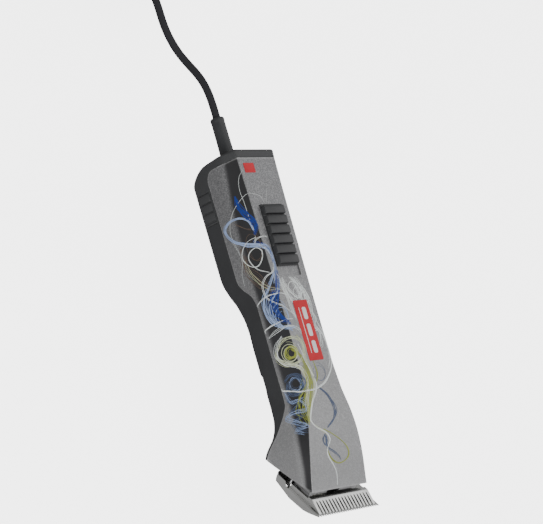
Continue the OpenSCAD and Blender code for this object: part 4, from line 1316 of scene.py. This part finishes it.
# ink, control points as (y, distance from the face's left edge), strands, spread, width
BUNDLES = (
    ("white", ((191.9, 1), (187.5, -2.6), (181.2, -4), (173.4, -3.6), (163.7, -3.4), (157, -2.8),
      (149.6, -4.4)), 1, 0, 0.32),
    ("white", ((181, 15.5), (176.4, 13.5), (171.6, 11.5)), 1, 0, 0.16),
    ("white", ((172.1, 10), (176.4, 8.6), (178.3, 0.4), (176.4, -4.7), (172, -10.1),
      (166.4, -14.4), (160.5, -16.6), (153.6, -15.6), (147.8, -14)), 1, 0, 0.26),
    ("blue", ((178.5, -7.5), (173, -7.2), (168.5, -5.4), (163.6, -2.6), (160, -1.2), (156, -3.1)),
      9, 1.5, 0.6),
    ("blue", ((152, -5), (150, -1), (147, 3), (142, 4.6), (136, 3.8), (130, 2.2), (124, 0.4),
      (118, -2), (112, -3.4), (106, -1)), 8, 1.7, 0.34),
    ("blue", ((124, -2), (118, -5), (112, -5), (107, -2), (104, 2)), 9, 2, 0.36),
    ("pale", ((158, -3.2), (163.3, -4.3), (166.5, -8.5), (166.6, -14.4), (164.3, -19.4),
      (160.4, -19.5), (155.4, -15.4), (152.3, -9.6), (149.9, -3), (147.8, 2), (144.1, 4),
      (138.2, 4.3), (132.4, 3.6)), 7, 0.9, 0.36),
    ("pale", ((155.4, -15.4), (151, -10), (149, -4), (146, 1), (141, 3), (134, 2.4), (127, -1)),
      4, 0.9, 0.3),
    ("pale", ((133, 1), (127, -3), (120, -8.5), (113, -9.6), (106, -7), (102, -1), (101.5, 5)), 6,
      1.1, 0.34),
    ("pale", ((131, 4), (124, 1), (117, -6), (110, -7.5), (104, -4), (100, 2)), 5, 1.2, 0.28),
    ("brown", ((164.1, -12), (160.6, -7.6), (158.5, -4.4)), 2, 0.7, 0.26),
    ("brown", ((151, -13), (141.6, -13.6), (136.3, -13.4), (131.4, -10.5), (127, -7.2), (123, -2),
      (121.5, 2)), 6, 1.9, 0.2),
    ("brown", ((146, -11.6), (138.7, -11.6), (133.1, -8), (126.7, -4.6), (124, 0)), 6, 1.8, 0.18),
    ("cream", ((143, -12.6), (136, -11.6), (129, -8), (124.5, -3), (122, 2.6)), 3, 1.5, 0.18),
    ("white", ((155.4, -17), (147.7, -14.6), (142.6, -14.5), (137.2, -17), (130.8, -17.6)), 1, 0,
      0.2),
    ("white", ((153.9, -3), (152.9, -8), (149, -12.2), (144.4, -13.5), (139.7, -10.6),
      (138.5, -6.5), (142, -3.1), (146.4, -2.3), (148.6, -5.4), (146.3, -9.4), (142.2, -10),
      (136.8, -7), (133.4, -1.5)), 2, 0.3, 0.32),
    ("white", ((150, -5), (152.6, -3.5), (153.8, 1), (152.9, 5.1)), 2, 0.7, 0.34),
    ("white", ((150, -3), (142, 3), (133.8, 1.1), (131.7, -3.7), (128.2, -7), (123.7, -7.7),
      (119.6, -6.3), (115.5, -1.6), (111.8, 3.2), (107.9, 8.1)), 2, 0.6, 0.36),
    ("white", ((117, -14), (119.4, -10.7), (121.3, -6.6), (121.5, -1.7), (120.5, 4.5),
      (117.1, 9.8)), 2, 0.6, 0.34),
    ("white", ((102, -16.5), (104.5, -10.5), (105.7, -6.5), (106.5, -0.6), (106.2, 5)), 2, 0.5,
      0.4),
    ("white", ((99, -12), (101.5, -7), (103, -1), (101, 6), (97, 10)), 3, 1.2, 0.24),
    ("white", ((135, 5), (128, 6), (122, 9), (118, 14), (121, 18), (127, 17), (131, 12),
      (133, 7)), 4, 1.6, 0.36),
    ("white", ((134, 8), (129, 13), (124, 18), (116, 21), (109, 21), (106, 18)), 5, 1.5, 0.34),
    ("white", ((130, 6), (122, 6), (116, 9), (112, 13), (116, 19), (124, 20)), 4, 1.4, 0.32),
    ("white", ((133, 10), (126, 14), (119, 16), (114, 18), (116, 22), (122, 21)), 4, 1.4, 0.34),
    ("white", ((132, 3), (126, 4), (119, 5.6), (112, 6.4), (106, 7.6)), 5, 1.3, 0.3),
    ("white", ((112, 20), (106, 23), (101, 20), (98, 23), (93, 22), (90, 20)), 4, 1, 0.32),
    ("white", ((71, -15.5), (68.6, -8.5), (66.7, -2.6), (66.4, 3.6), (67.1, 9), (69.6, 16),
      (74.2, 21.6), (79, 25), (85.5, 26.4), (91, 26), (96.8, 24.4), (102, 21)), 4, 0.7, 0.4),
    ("white", ((104, 23), (97, 25.4), (90, 25.8), (83, 25), (77, 22)), 3, 0.8, 0.28),
    ("green", ((79, 2.5), (73, 3.8), (68, 2), (63.5, -1.6), (58, -2.8), (54, -1.8), (49.6, 0)),
      13, 3.6, 0.32),
    ("green", ((90, -2), (86, 2), (81, 4), (76, 5), (70, 5.2), (64, 3), (57, 0.8), (50, 0.4)), 7,
      1.3, 0.36),
    ("green", ((90.4, -5.6), (91.5, -2.5), (89.4, 0.5), (86, -0.9), (85.6, -4.4), (88, -6.2),
      (90.6, -5)), 6, 0.8, 0.42),
    ("green", ((82.1, 11), (74.7, 11.6), (67.9, 8)), 3, 0.5, 0.36),
    ("cream", ((91.5, -9.6), (95.6, -5.7), (96.2, 0), (93.4, 6), (87.9, 6.2), (82.7, 0.5),
      (82.2, -6), (86.4, -10.4), (90.6, -10.5)), 5, 1.5, 0.28),
    ("cream", ((97, 4), (92, 7), (86, 5.6), (81, 6), (76, 7.4), (70, 8), (64, 5), (57, 2.4),
      (51, 1.6)), 6, 1, 0.32),
    ("cream", ((87, -11), (84, -6), (80, -1), (75, 2), (69, 2.6), (62, -0.4), (55, 0), (50, 1)),
      5, 1.2, 0.3),
    ("white", ((98, -5), (94, -9), (88, -10.6), (83, -7), (80, -1), (76, 3.4)), 4, 1.2, 0.3),
    ("white", ((92, 3), (87, 4.4), (82.5, 4.6), (76.9, 7.1), (70.5, 9), (66.1, 7.9), (61.1, 4.1),
      (55.2, 2), (50.3, 1.5), (46.2, 6.1), (43.3, 12.5), (39.1, 16), (34.6, 13.6), (30.5, 14),
      (25.1, 18.1), (20.8, 20), (15.2, 20)), 3, 0.4, 0.4),
    ("cream", ((50.3, 1), (46.8, 5.6), (43.8, 11), (41.4, 15)), 4, 0.6, 0.3),
    ("slate", ((67.3, 10.5), (62.8, 16), (56.9, 20.3), (52.5, 21.5), (48.5, 19), (45.5, 14.5)), 8,
      1.1, 0.32),
    ("slate", ((42.4, 12.5), (39.6, 10.4), (36.5, 12), (38.7, 13.5), (41.5, 12.5), (35.5, 13.6),
      (32.5, 18.4), (30.1, 22), (27.8, 24)), 4, 0.7, 0.3),
    ("green", ((44.9, 11.1), (41.2, 19), (37.1, 26), (32.9, 30.1), (29.5, 30.4), (27, 27),
      (26.2, 22.1), (27.9, 17.9), (31.1, 14.9), (34.6, 13.5)), 4, 0.5, 0.32),
    ("slate", ((74.2, -10), (76.7, -6.6), (75.6, -2.4), (71.4, 0.4), (67.3, -1.3), (65.7, -5.5),
      (68.6, -9.5), (73, -9)), 7, 1.4, 0.24),
    ("pale", ((73, -8), (75, -5), (73.6, -2.6), (70.4, -1.6), (68, -4), (69.4, -7.4), (73, -7.6)),
      3, 0.9, 0.18),
    ("pale", ((68.5, -11.4), (62.5, -9), (62.5, -3.5), (56.5, -0.4), (57, -7.8), (55.5, -13),
      (51.4, -6.4), (48, -0.8), (47.5, -7.5), (44.5, -3)), 6, 1.7, 0.2),
    ("slate", ((70, -8), (64, -11), (61, -5), (58, -10), (54, -3), (52, -9), (47, -5), (45, -1)),
      5, 1.7, 0.22),
)
# ink, centre (y, distance), half sizes, turns, drift of each turn, width
LOOPS = (
    ("brown", 151, -6, 9, 4.6, 2, (-2, 0.6), 0.18),
    ("white", 124, 11, 6.5, 5, 2.3, (-2.4, 2.2), 0.3),
    ("white", 113, 19, 6, 3.4, 2, (-2.4, 0.6), 0.3),
    ("white", 96, 21, 5.5, 2.6, 1.6, (-2, 0.2), 0.28),
    ("green", 89, -3, 3.2, 2.6, 2, (-0.4, 0.3), 0.4),
    ("cream", 89, -3.6, 5.6, 5, 2.4, (-0.6, 0.3), 0.28),
    ("slate", 71, -5, 4.2, 4.2, 3, (0.3, 0.25), 0.22),
    ("slate", 76, 13, 5, 5.5, 2, (-1, 0.6), 0.2),
    ("pale", 110, -2.5, 8, 5, 3, (-1, 0.5), 0.28),
)
INKS = {"white": (0.80, 0.84, 0.83), "pale": (0.33, 0.44, 0.70), "blue": (0.004, 0.032, 0.24),
        "brown": (0.13, 0.085, 0.06), "green": (0.30, 0.34, 0.05), "cream": (0.60, 0.64, 0.42),
        "slate": (0.06, 0.09, 0.17)}


def on_shell(y, distance):
    """Points on the front shell's skin and their outward directions."""
    whole = mirrored(upper_half(y))[:, ::-1]
    edge = (len(whole[0]) - 1) // 2 - 13
    steps = np.linalg.norm(np.diff(whole, axis=1), axis=2)
    far = np.concatenate([np.zeros((len(y), 1)), np.cumsum(steps, axis=1)], axis=1)
    points, outward = np.zeros((len(y), 3)), np.zeros((len(y), 3))
    for k in range(len(y)):
        at = far[k] - far[k, edge]
        d = np.clip(distance[k], at[0] + 0.8, at[-1] - 0.8)
        here, on = (np.array([np.interp(d + e, at, whole[k, :, c]) for c in (0, 1)])
                    for e in (-0.15, 0.15))
        run = (on - here) / (np.linalg.norm(on - here) + 1e-9)
        middle = (here + on) / 2
        points[k] = (middle[0], y[k], middle[1])
        outward[k] = (-run[1], 0, run[0])
    return points, outward


def ribbon(path, width, layer):
    """Points and faces of one thin printed line along (y, distance) pairs."""
    p = spline(np.hstack([np.asarray(path, float), np.zeros((len(path), 1))]), 0.8)[:, :2]
    p[:, 0] = np.clip(p[:, 0], 13.8, 196.5)
    # Printing stops short of the slider's pocket
    low, high = np.array(POCKET_CLEAR).T
    clear = np.flatnonzero(((p < low) | (p > high)).any(axis=1))
    p = p[max(np.split(clear, np.flatnonzero(np.diff(clear) > 1) + 1), key=len)]
    points, outward = on_shell(p[:, 0], p[:, 1])
    heading = np.gradient(points, axis=0)
    heading /= np.linalg.norm(heading, axis=1, keepdims=True) + 1e-9
    side = np.cross(heading, outward)
    u = np.linspace(0, 1, len(p))
    half = width / 2 * (0.3 + 0.7 * np.sin(np.pi * np.clip(u, 0.02, 0.98)) ** 0.5)[:, None]
    rise = sizes().line_height * 1000 * (1 + 0.11 * layer)
    rings = [points - side * half - outward * 0.05, points - side * half + outward * rise,
             points + side * half + outward * rise, points + side * half - outward * 0.05]
    whole = np.stack(rings, axis=1).reshape(-1, 3)
    faces = grid_faces(len(p), 4, close=True)
    faces += [(3, 2, 1, 0), tuple(range(len(whole) - 4, len(whole)))]
    return whole, faces


def printed_lines(ink):
    """All lines of one ink as one mesh."""
    paths = []
    for name, control, strands, spread, width in BUNDLES:
        if name != ink:
            continue
        control = np.array(control, float)
        t = np.linspace(0, 1, len(control))
        for k in range(strands):
            off = (k - (strands - 1) / 2) / max(1, strands / 2)
            wave = 1 + 0.4 * np.sin(2 * np.pi * (1.3 * t + 0.37 * k))
            shift = off * spread * wave * (0.3 + 0.9 * np.sin(np.pi * t))
            along = 0.8 * spread * np.sin(2 * np.pi * (0.9 * t + 0.23 * k))
            moved = control + np.stack([along * 0.6, shift], axis=1)
            paths.append((moved, width * (0.65 + 0.5 * ((k * 7) % 5) / 4)))
    for name, y, s, half_y, half_s, turns, drift, width in LOOPS:
        if name != ink:
            continue
        a = np.linspace(0, 2 * np.pi * turns, int(16 * turns) + 1)
        shrink = 1 - 0.16 * a / (2 * np.pi)
        paths.append((np.stack([y + half_y * shrink * np.cos(a) + drift[0] * a / 6.283,
                                s + half_s * shrink * np.sin(a) + drift[1] * a / 6.283],
                               axis=1), width))
    points, faces, start = [], [], 0
    inks = list(INKS).index(ink)
    for k, (path, width) in enumerate(paths):
        p, f = ribbon(path, width, (k * 3 + inks * 2) % 17 / 2)
        points.append(p)
        faces += [tuple(v + start for v in face) for face in f]
        start += len(p)
    return new_mesh(f"printed_lines_{ink}", np.concatenate(points), faces)


class CLIPPER_OT_lines(bpy.types.Operator):
    """Print the loose swirls of coloured lines over the left bevel and the front face"""

    bl_idname = "clipper.lines"
    bl_label = "Printed lines"

    def execute(self, context):
        for ink, colour in INKS.items():
            finished(printed_lines(ink), HOUSING, printed(f"ink_{ink}", colour), None,
                     angle=60)
        return {"FINISHED"}


# ---------------------------------------------------------------- blade set

def blade_form(name, line, width, teeth, gap_tip, gap_root, low, high):
    """A blade from its side line, with tapered gaps cut between its teeth."""
    half = width / 2
    xs = (-half, -half + 0.02, half - 0.02, half)
    blank = loft(name, [[blade_place(x, y, z) for y, z in line] for x in xs])
    blank = rounded(blank, 0.1, 20, 1)
    pitch = width / teeth
    points, faces = [], []
    plan = [(-1.0, gap_tip), (1.2, gap_tip * 0.9), (4.5, (gap_tip + gap_root) / 2),
            (7.9, gap_root), (8.4, gap_root * 0.7), (8.6, gap_root * 0.25)]
    for i in range(1, teeth):
        x = i * pitch - half
        ring = [(x + w, y) for y, w in plan] + [(x - w, y) for y, w in reversed(plan)]
        start = len(points)
        points += [blade_place(px, py, low) for px, py in ring]
        points += [blade_place(px, py, high) for px, py in ring]
        n = len(ring)
        faces.append(tuple(start + k for k in range(n)))
        faces.append(tuple(start + n + k for k in reversed(range(n))))
        faces += [(start + k, start + n + k, start + n + (k + 1) % n, start + (k + 1) % n)
                  for k in range(n)]
    return cut(blank, new_mesh("gaps", points, faces))


COMB_LINE = ((0, 0.05), (10.3, 0.56), (26.6, 1.2), (28.4, 3.4), (37, 3.6), (36.2, 0),
             (21.9, -3.2), (10.9, -3.1), (6.9, -2.2))
CUTTER_LINE = ((1.6, 0.2), (10.3, 0.62), (26, 1.25), (26, 3.3), (12.6, 3.3), (12, 4.2),
               (9.8, 4.2), (3, 1.2), (1.6, 0.6))


def tilted_block(name, low, high, round_by=0.0):
    """A box in blade coordinates."""
    made = block(name, low, high, round_by)
    for v in made.data.vertices:
        p = np.array(v.co) * 1000 - (0, SHIFT, 0)
        v.co = place([blade_place(*p)])[0]
    return made


def comb_blade():
    """Lower blade: hollow-ground comb with tapered teeth, cut corners and two threads."""
    width = (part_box("comb_blade")[1].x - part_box("comb_blade")[0].x) * 1000
    blade = blade_form("comb_blade_ground", COMB_LINE, width, sizes().comb_teeth, 0.56, 0.33,
                       -5, 2)
    tools = []
    for x in (-5, 5):
        tools.append(revolved("thread", [(0, 1.25), (14, 1.25)], blade_place(x, 32, -6),
                              (0, math.sin(BLADE_TURN), math.cos(BLADE_TURN)), 24))
    for s in (-1, 1):
        ring = [(s * 26, 33.2), (s * 26, 40), (s * 19.5, 40)]
        if s < 0:
            ring.reverse()
        tools.append(loft("corner", [[blade_place(x, y, z) for x, y in ring]
                                     for z in (-8, 8)]))
    tools.append(tilted_block("relief_groove", (-width / 2 + 2.5, 15, -3.6),
                              (width / 2 - 2.5, 20, -2.75), 1.0))
    return cut(blade, *tools)


def cutter_blade():
    """Upper blade with its raised bar and the slot for the drive finger."""
    low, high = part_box("cutter_blade")
    blade = blade_form("cutter_blade_ground", CUTTER_LINE, (high.x - low.x) * 1000,
                       sizes().cutter_teeth, 0.82, 0.5, -3, 7)
    return cut(blade, tilted_block("slot", (-1.65, 18.6, 1.7), (1.65, 25.6, 6), 0.3))


class CLIPPER_OT_blades(bpy.types.Operator):
    """Grind the comb and cutter blades"""

    bl_idname = "clipper.blades"
    bl_label = "Blade set"

    def execute(self, context):
        finished(comb_blade(), "blade_set", metal(
            "comb_steel", (0.72, 0.72, 0.71), (0.16, 0.27), (25.0, 700.0, 700.0), 0.1, 0.75),
            "blade", "comb_blade", angle=24)
        finished(cutter_blade(), "cutter", metal(
            "cutter_steel", (0.76, 0.76, 0.75), (0.14, 0.25), (25.0, 800.0, 800.0), 0.08,
            0.8), "blade", "cutter_blade", angle=24)
        return {"FINISHED"}


# ---------------------------------------------------------------- kept parts

def kept_finishes():
    """Material for each part of the frame that is shown as it was made."""
    spring = metal("spring_steel", (0.5, 0.5, 0.51), (0.22, 0.36))
    steel = metal("ground_steel", (0.58, 0.58, 0.58), (0.15, 0.25), (800.0, 60.0, 800.0))
    cast = metal("cast_frame", (0.36, 0.37, 0.38), (0.42, 0.58), (300.0, 300.0, 300.0), 0.3)
    can = metal("plated_can", (0.48, 0.49, 0.51), (0.2, 0.32), (900.0, 30.0, 900.0))
    black = moulded("black_moulding", (0.018, 0.018, 0.021), (0.3, 0.42), (700.0, 0.1))
    ivory = moulded("ivory_moulding", (0.62, 0.61, 0.55), (0.35, 0.48), (700.0, 0.1))
    return {
        "switch_link": ivory, "slide_switch": black, "button_spring_left": spring,
        "button_spring_right": spring, "drive_frame": cast, "motor_can": can,
        "motor_end_bell": black, "motor_shaft": steel,
        "eccentric_cam": metal("turned_brass", (0.62, 0.45, 0.18), (0.2, 0.32)),
        "drive_roller": metal("roller_steel", (0.4, 0.41, 0.42), (0.2, 0.3)),
        "drive_lever": ivory, "lever_pivot_pin": steel, "tension_spring": spring,
        "blade_socket": metal("pressed_socket", (0.5, 0.5, 0.5), (0.26, 0.4)),
        "blade_screws": metal("black_screw", (0.12, 0.12, 0.125), (0.35, 0.5)),
        "hinge_tongue": metal("pressed_tongue", (0.54, 0.54, 0.55), (0.26, 0.38)),
        "hinge_pin": steel, "latch_spring": spring,
        "circuit_board": banded("solder_mask", (0.008, 0.07, 0.03), (0.015, 0.12, 0.05),
                                260.0, "X", 0.3),
        "transformer": banded("winding_tape", (0.16, 0.09, 0.03), (0.42, 0.26, 0.08), 300.0,
                              "Y", 0.45),
        "capacitors": moulded("capacitor_sleeve", (0.02, 0.03, 0.11), (0.2, 0.3),
                              (500.0, 0.05), coat=0.3),
        "motor_leads": moulded("lead_insulation", (0.38, 0.02, 0.02), (0.35, 0.45),
                               (500.0, 0.05)),
    }


class CLIPPER_OT_inside(bpy.types.Operator):
    """Finish the drive, the electronics and the springs inside the housing"""

    bl_idname = "clipper.inside"
    bl_label = "Inner parts"

    def execute(self, context):
        for name, look in kept_finishes().items():
            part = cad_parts[name]
            if part.material_slots:
                for holder in part.material_slots:
                    holder.material = look
            else:
                part.data.materials.append(look)
        return {"FINISHED"}


# ---------------------------------------------------------------- stage

def soft_light(name, place_at, target, size, power, colour=(1, 1, 1)):
    data = bpy.data.lights.new(name, "AREA")
    data.shape = "RECTANGLE"
    data.size, data.size_y = size
    data.energy = power
    data.color = colour
    lamp = bpy.data.objects.new(name, data)
    bpy.context.scene.collection.objects.link(lamp)
    lamp.location = place_at
    lamp.rotation_euler = (Vector(target) - Vector(place_at)).to_track_quat(
        "-Z", "Y").to_euler()
    return lamp


class CLIPPER_OT_stage(bpy.types.Operator):
    """Set the pale floor and the soft studio light"""

    bl_idname = "clipper.stage"
    bl_label = "Stage"

    def execute(self, context):
        half = sizes().floor_size * 500
        ring = [(-half, -half), (half, -half), (half, half), (-half, half)]
        level = -sizes().floor_drop * 1000
        floor = new_mesh("pale_floor", [(x, y - SHIFT, level) for x, y in ring],
                         [(0, 1, 2, 3)])
        look, tree, shader = blank_material("pale_floor")
        mask = use_group(tree, hand_marks(), {"Scale": 3.0})
        tree.links.new(mixed(tree, (0.86, 0.86, 0.86), (0.84, 0.84, 0.845),
                             mask.outputs["Mask"]), shader.inputs["Base Color"])
        tree.links.new(ranged(tree, mask.outputs["Mask"], 0.85, 0.95),
                       shader.inputs["Roughness"])
        shader.inputs["Specular IOR Level"].default_value = 0.1
        shader.inputs["Emission Color"].default_value = (1, 1, 1, 1)
        shader.inputs["Emission Strength"].default_value = FLOOR_GLOW
        floor.data.materials.append(look)
        floor.visible_diffuse = floor.visible_glossy = False
        world = bpy.data.worlds.new("studio")
        world.use_nodes = True
        ground = world.node_tree.nodes["Background"]
        ground.inputs["Color"].default_value = (1, 1, 1, 1)
        backdrop = add_node(world.node_tree, "ShaderNodeMapRange",
                            {"To Min": BACKDROP_LIGHT, "To Max": BACKDROP_SEEN})
        rays = add_node(world.node_tree, "ShaderNodeLightPath")
        world.node_tree.links.new(rays.outputs["Is Camera Ray"], backdrop.inputs["Value"])
        world.node_tree.links.new(backdrop.outputs["Result"], ground.inputs["Strength"])
        context.scene.world = world
        soft_light("overhead", (0.1, 0.1, 1.3), (0, 0, 0), (1.4, 1.4), 6.5)
        soft_light("far_card", (1.2, 0.1, 0.75), (0, 0, 0.02), (1.2, 1.4), 5)
        soft_light("left_card", (-0.9, -0.5, 0.35), (0, 0, 0.02), (0.6, 1.0), 9)
        return {"FINISHED"}


STEPS = (("camera", "Camera"), ("cord", "Cord and plug"), ("shells", "Shells and cap"),
         ("controls", "Switch and buttons"), ("labels", "Label and emblem"),
         ("lines", "Printed lines"), ("blades", "Blade set"), ("inside", "Inner parts"),
         ("stage", "Stage"))


class CLIPPER_PT_panel(bpy.types.Panel):
    """Lists the steps that build the clipper, with its sizes and colours"""

    bl_idname = "CLIPPER_PT_panel"
    bl_label = "Hair Clipper"
    bl_space_type = "VIEW_3D"
    bl_region_type = "UI"
    bl_category = "Clipper"

    def draw(self, context):
        for name, label in STEPS:
            self.layout.operator(f"clipper.{name}", text=label)
        for group in (context.scene.clipper_sizes, context.scene.clipper_colours):
            box = self.layout.box()
            for key in group.bl_rna.properties.keys():
                if key not in ("rna_type", "name"):
                    box.prop(group, key)


CLASSES = (ClipperSizes, ClipperColours, CLIPPER_OT_camera, CLIPPER_OT_cord,
           CLIPPER_OT_shells, CLIPPER_OT_controls, CLIPPER_OT_labels, CLIPPER_OT_lines,
           CLIPPER_OT_blades, CLIPPER_OT_inside, CLIPPER_OT_stage, CLIPPER_PT_panel)


def register():
    for kind in CLASSES:
        bpy.utils.register_class(kind)
    bpy.types.Scene.clipper_sizes = bpy.props.PointerProperty(type=ClipperSizes)
    bpy.types.Scene.clipper_colours = bpy.props.PointerProperty(type=ClipperColours)


def unregister():
    del bpy.types.Scene.clipper_colours
    del bpy.types.Scene.clipper_sizes
    for kind in reversed(CLASSES):
        bpy.utils.unregister_class(kind)


def main():
    """Registers the add-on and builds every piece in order."""
    register()
    for name, _ in STEPS:
        getattr(bpy.ops.clipper, name)()
    bpy.context.view_layer.update()


if __name__ == "__main__":
    main()
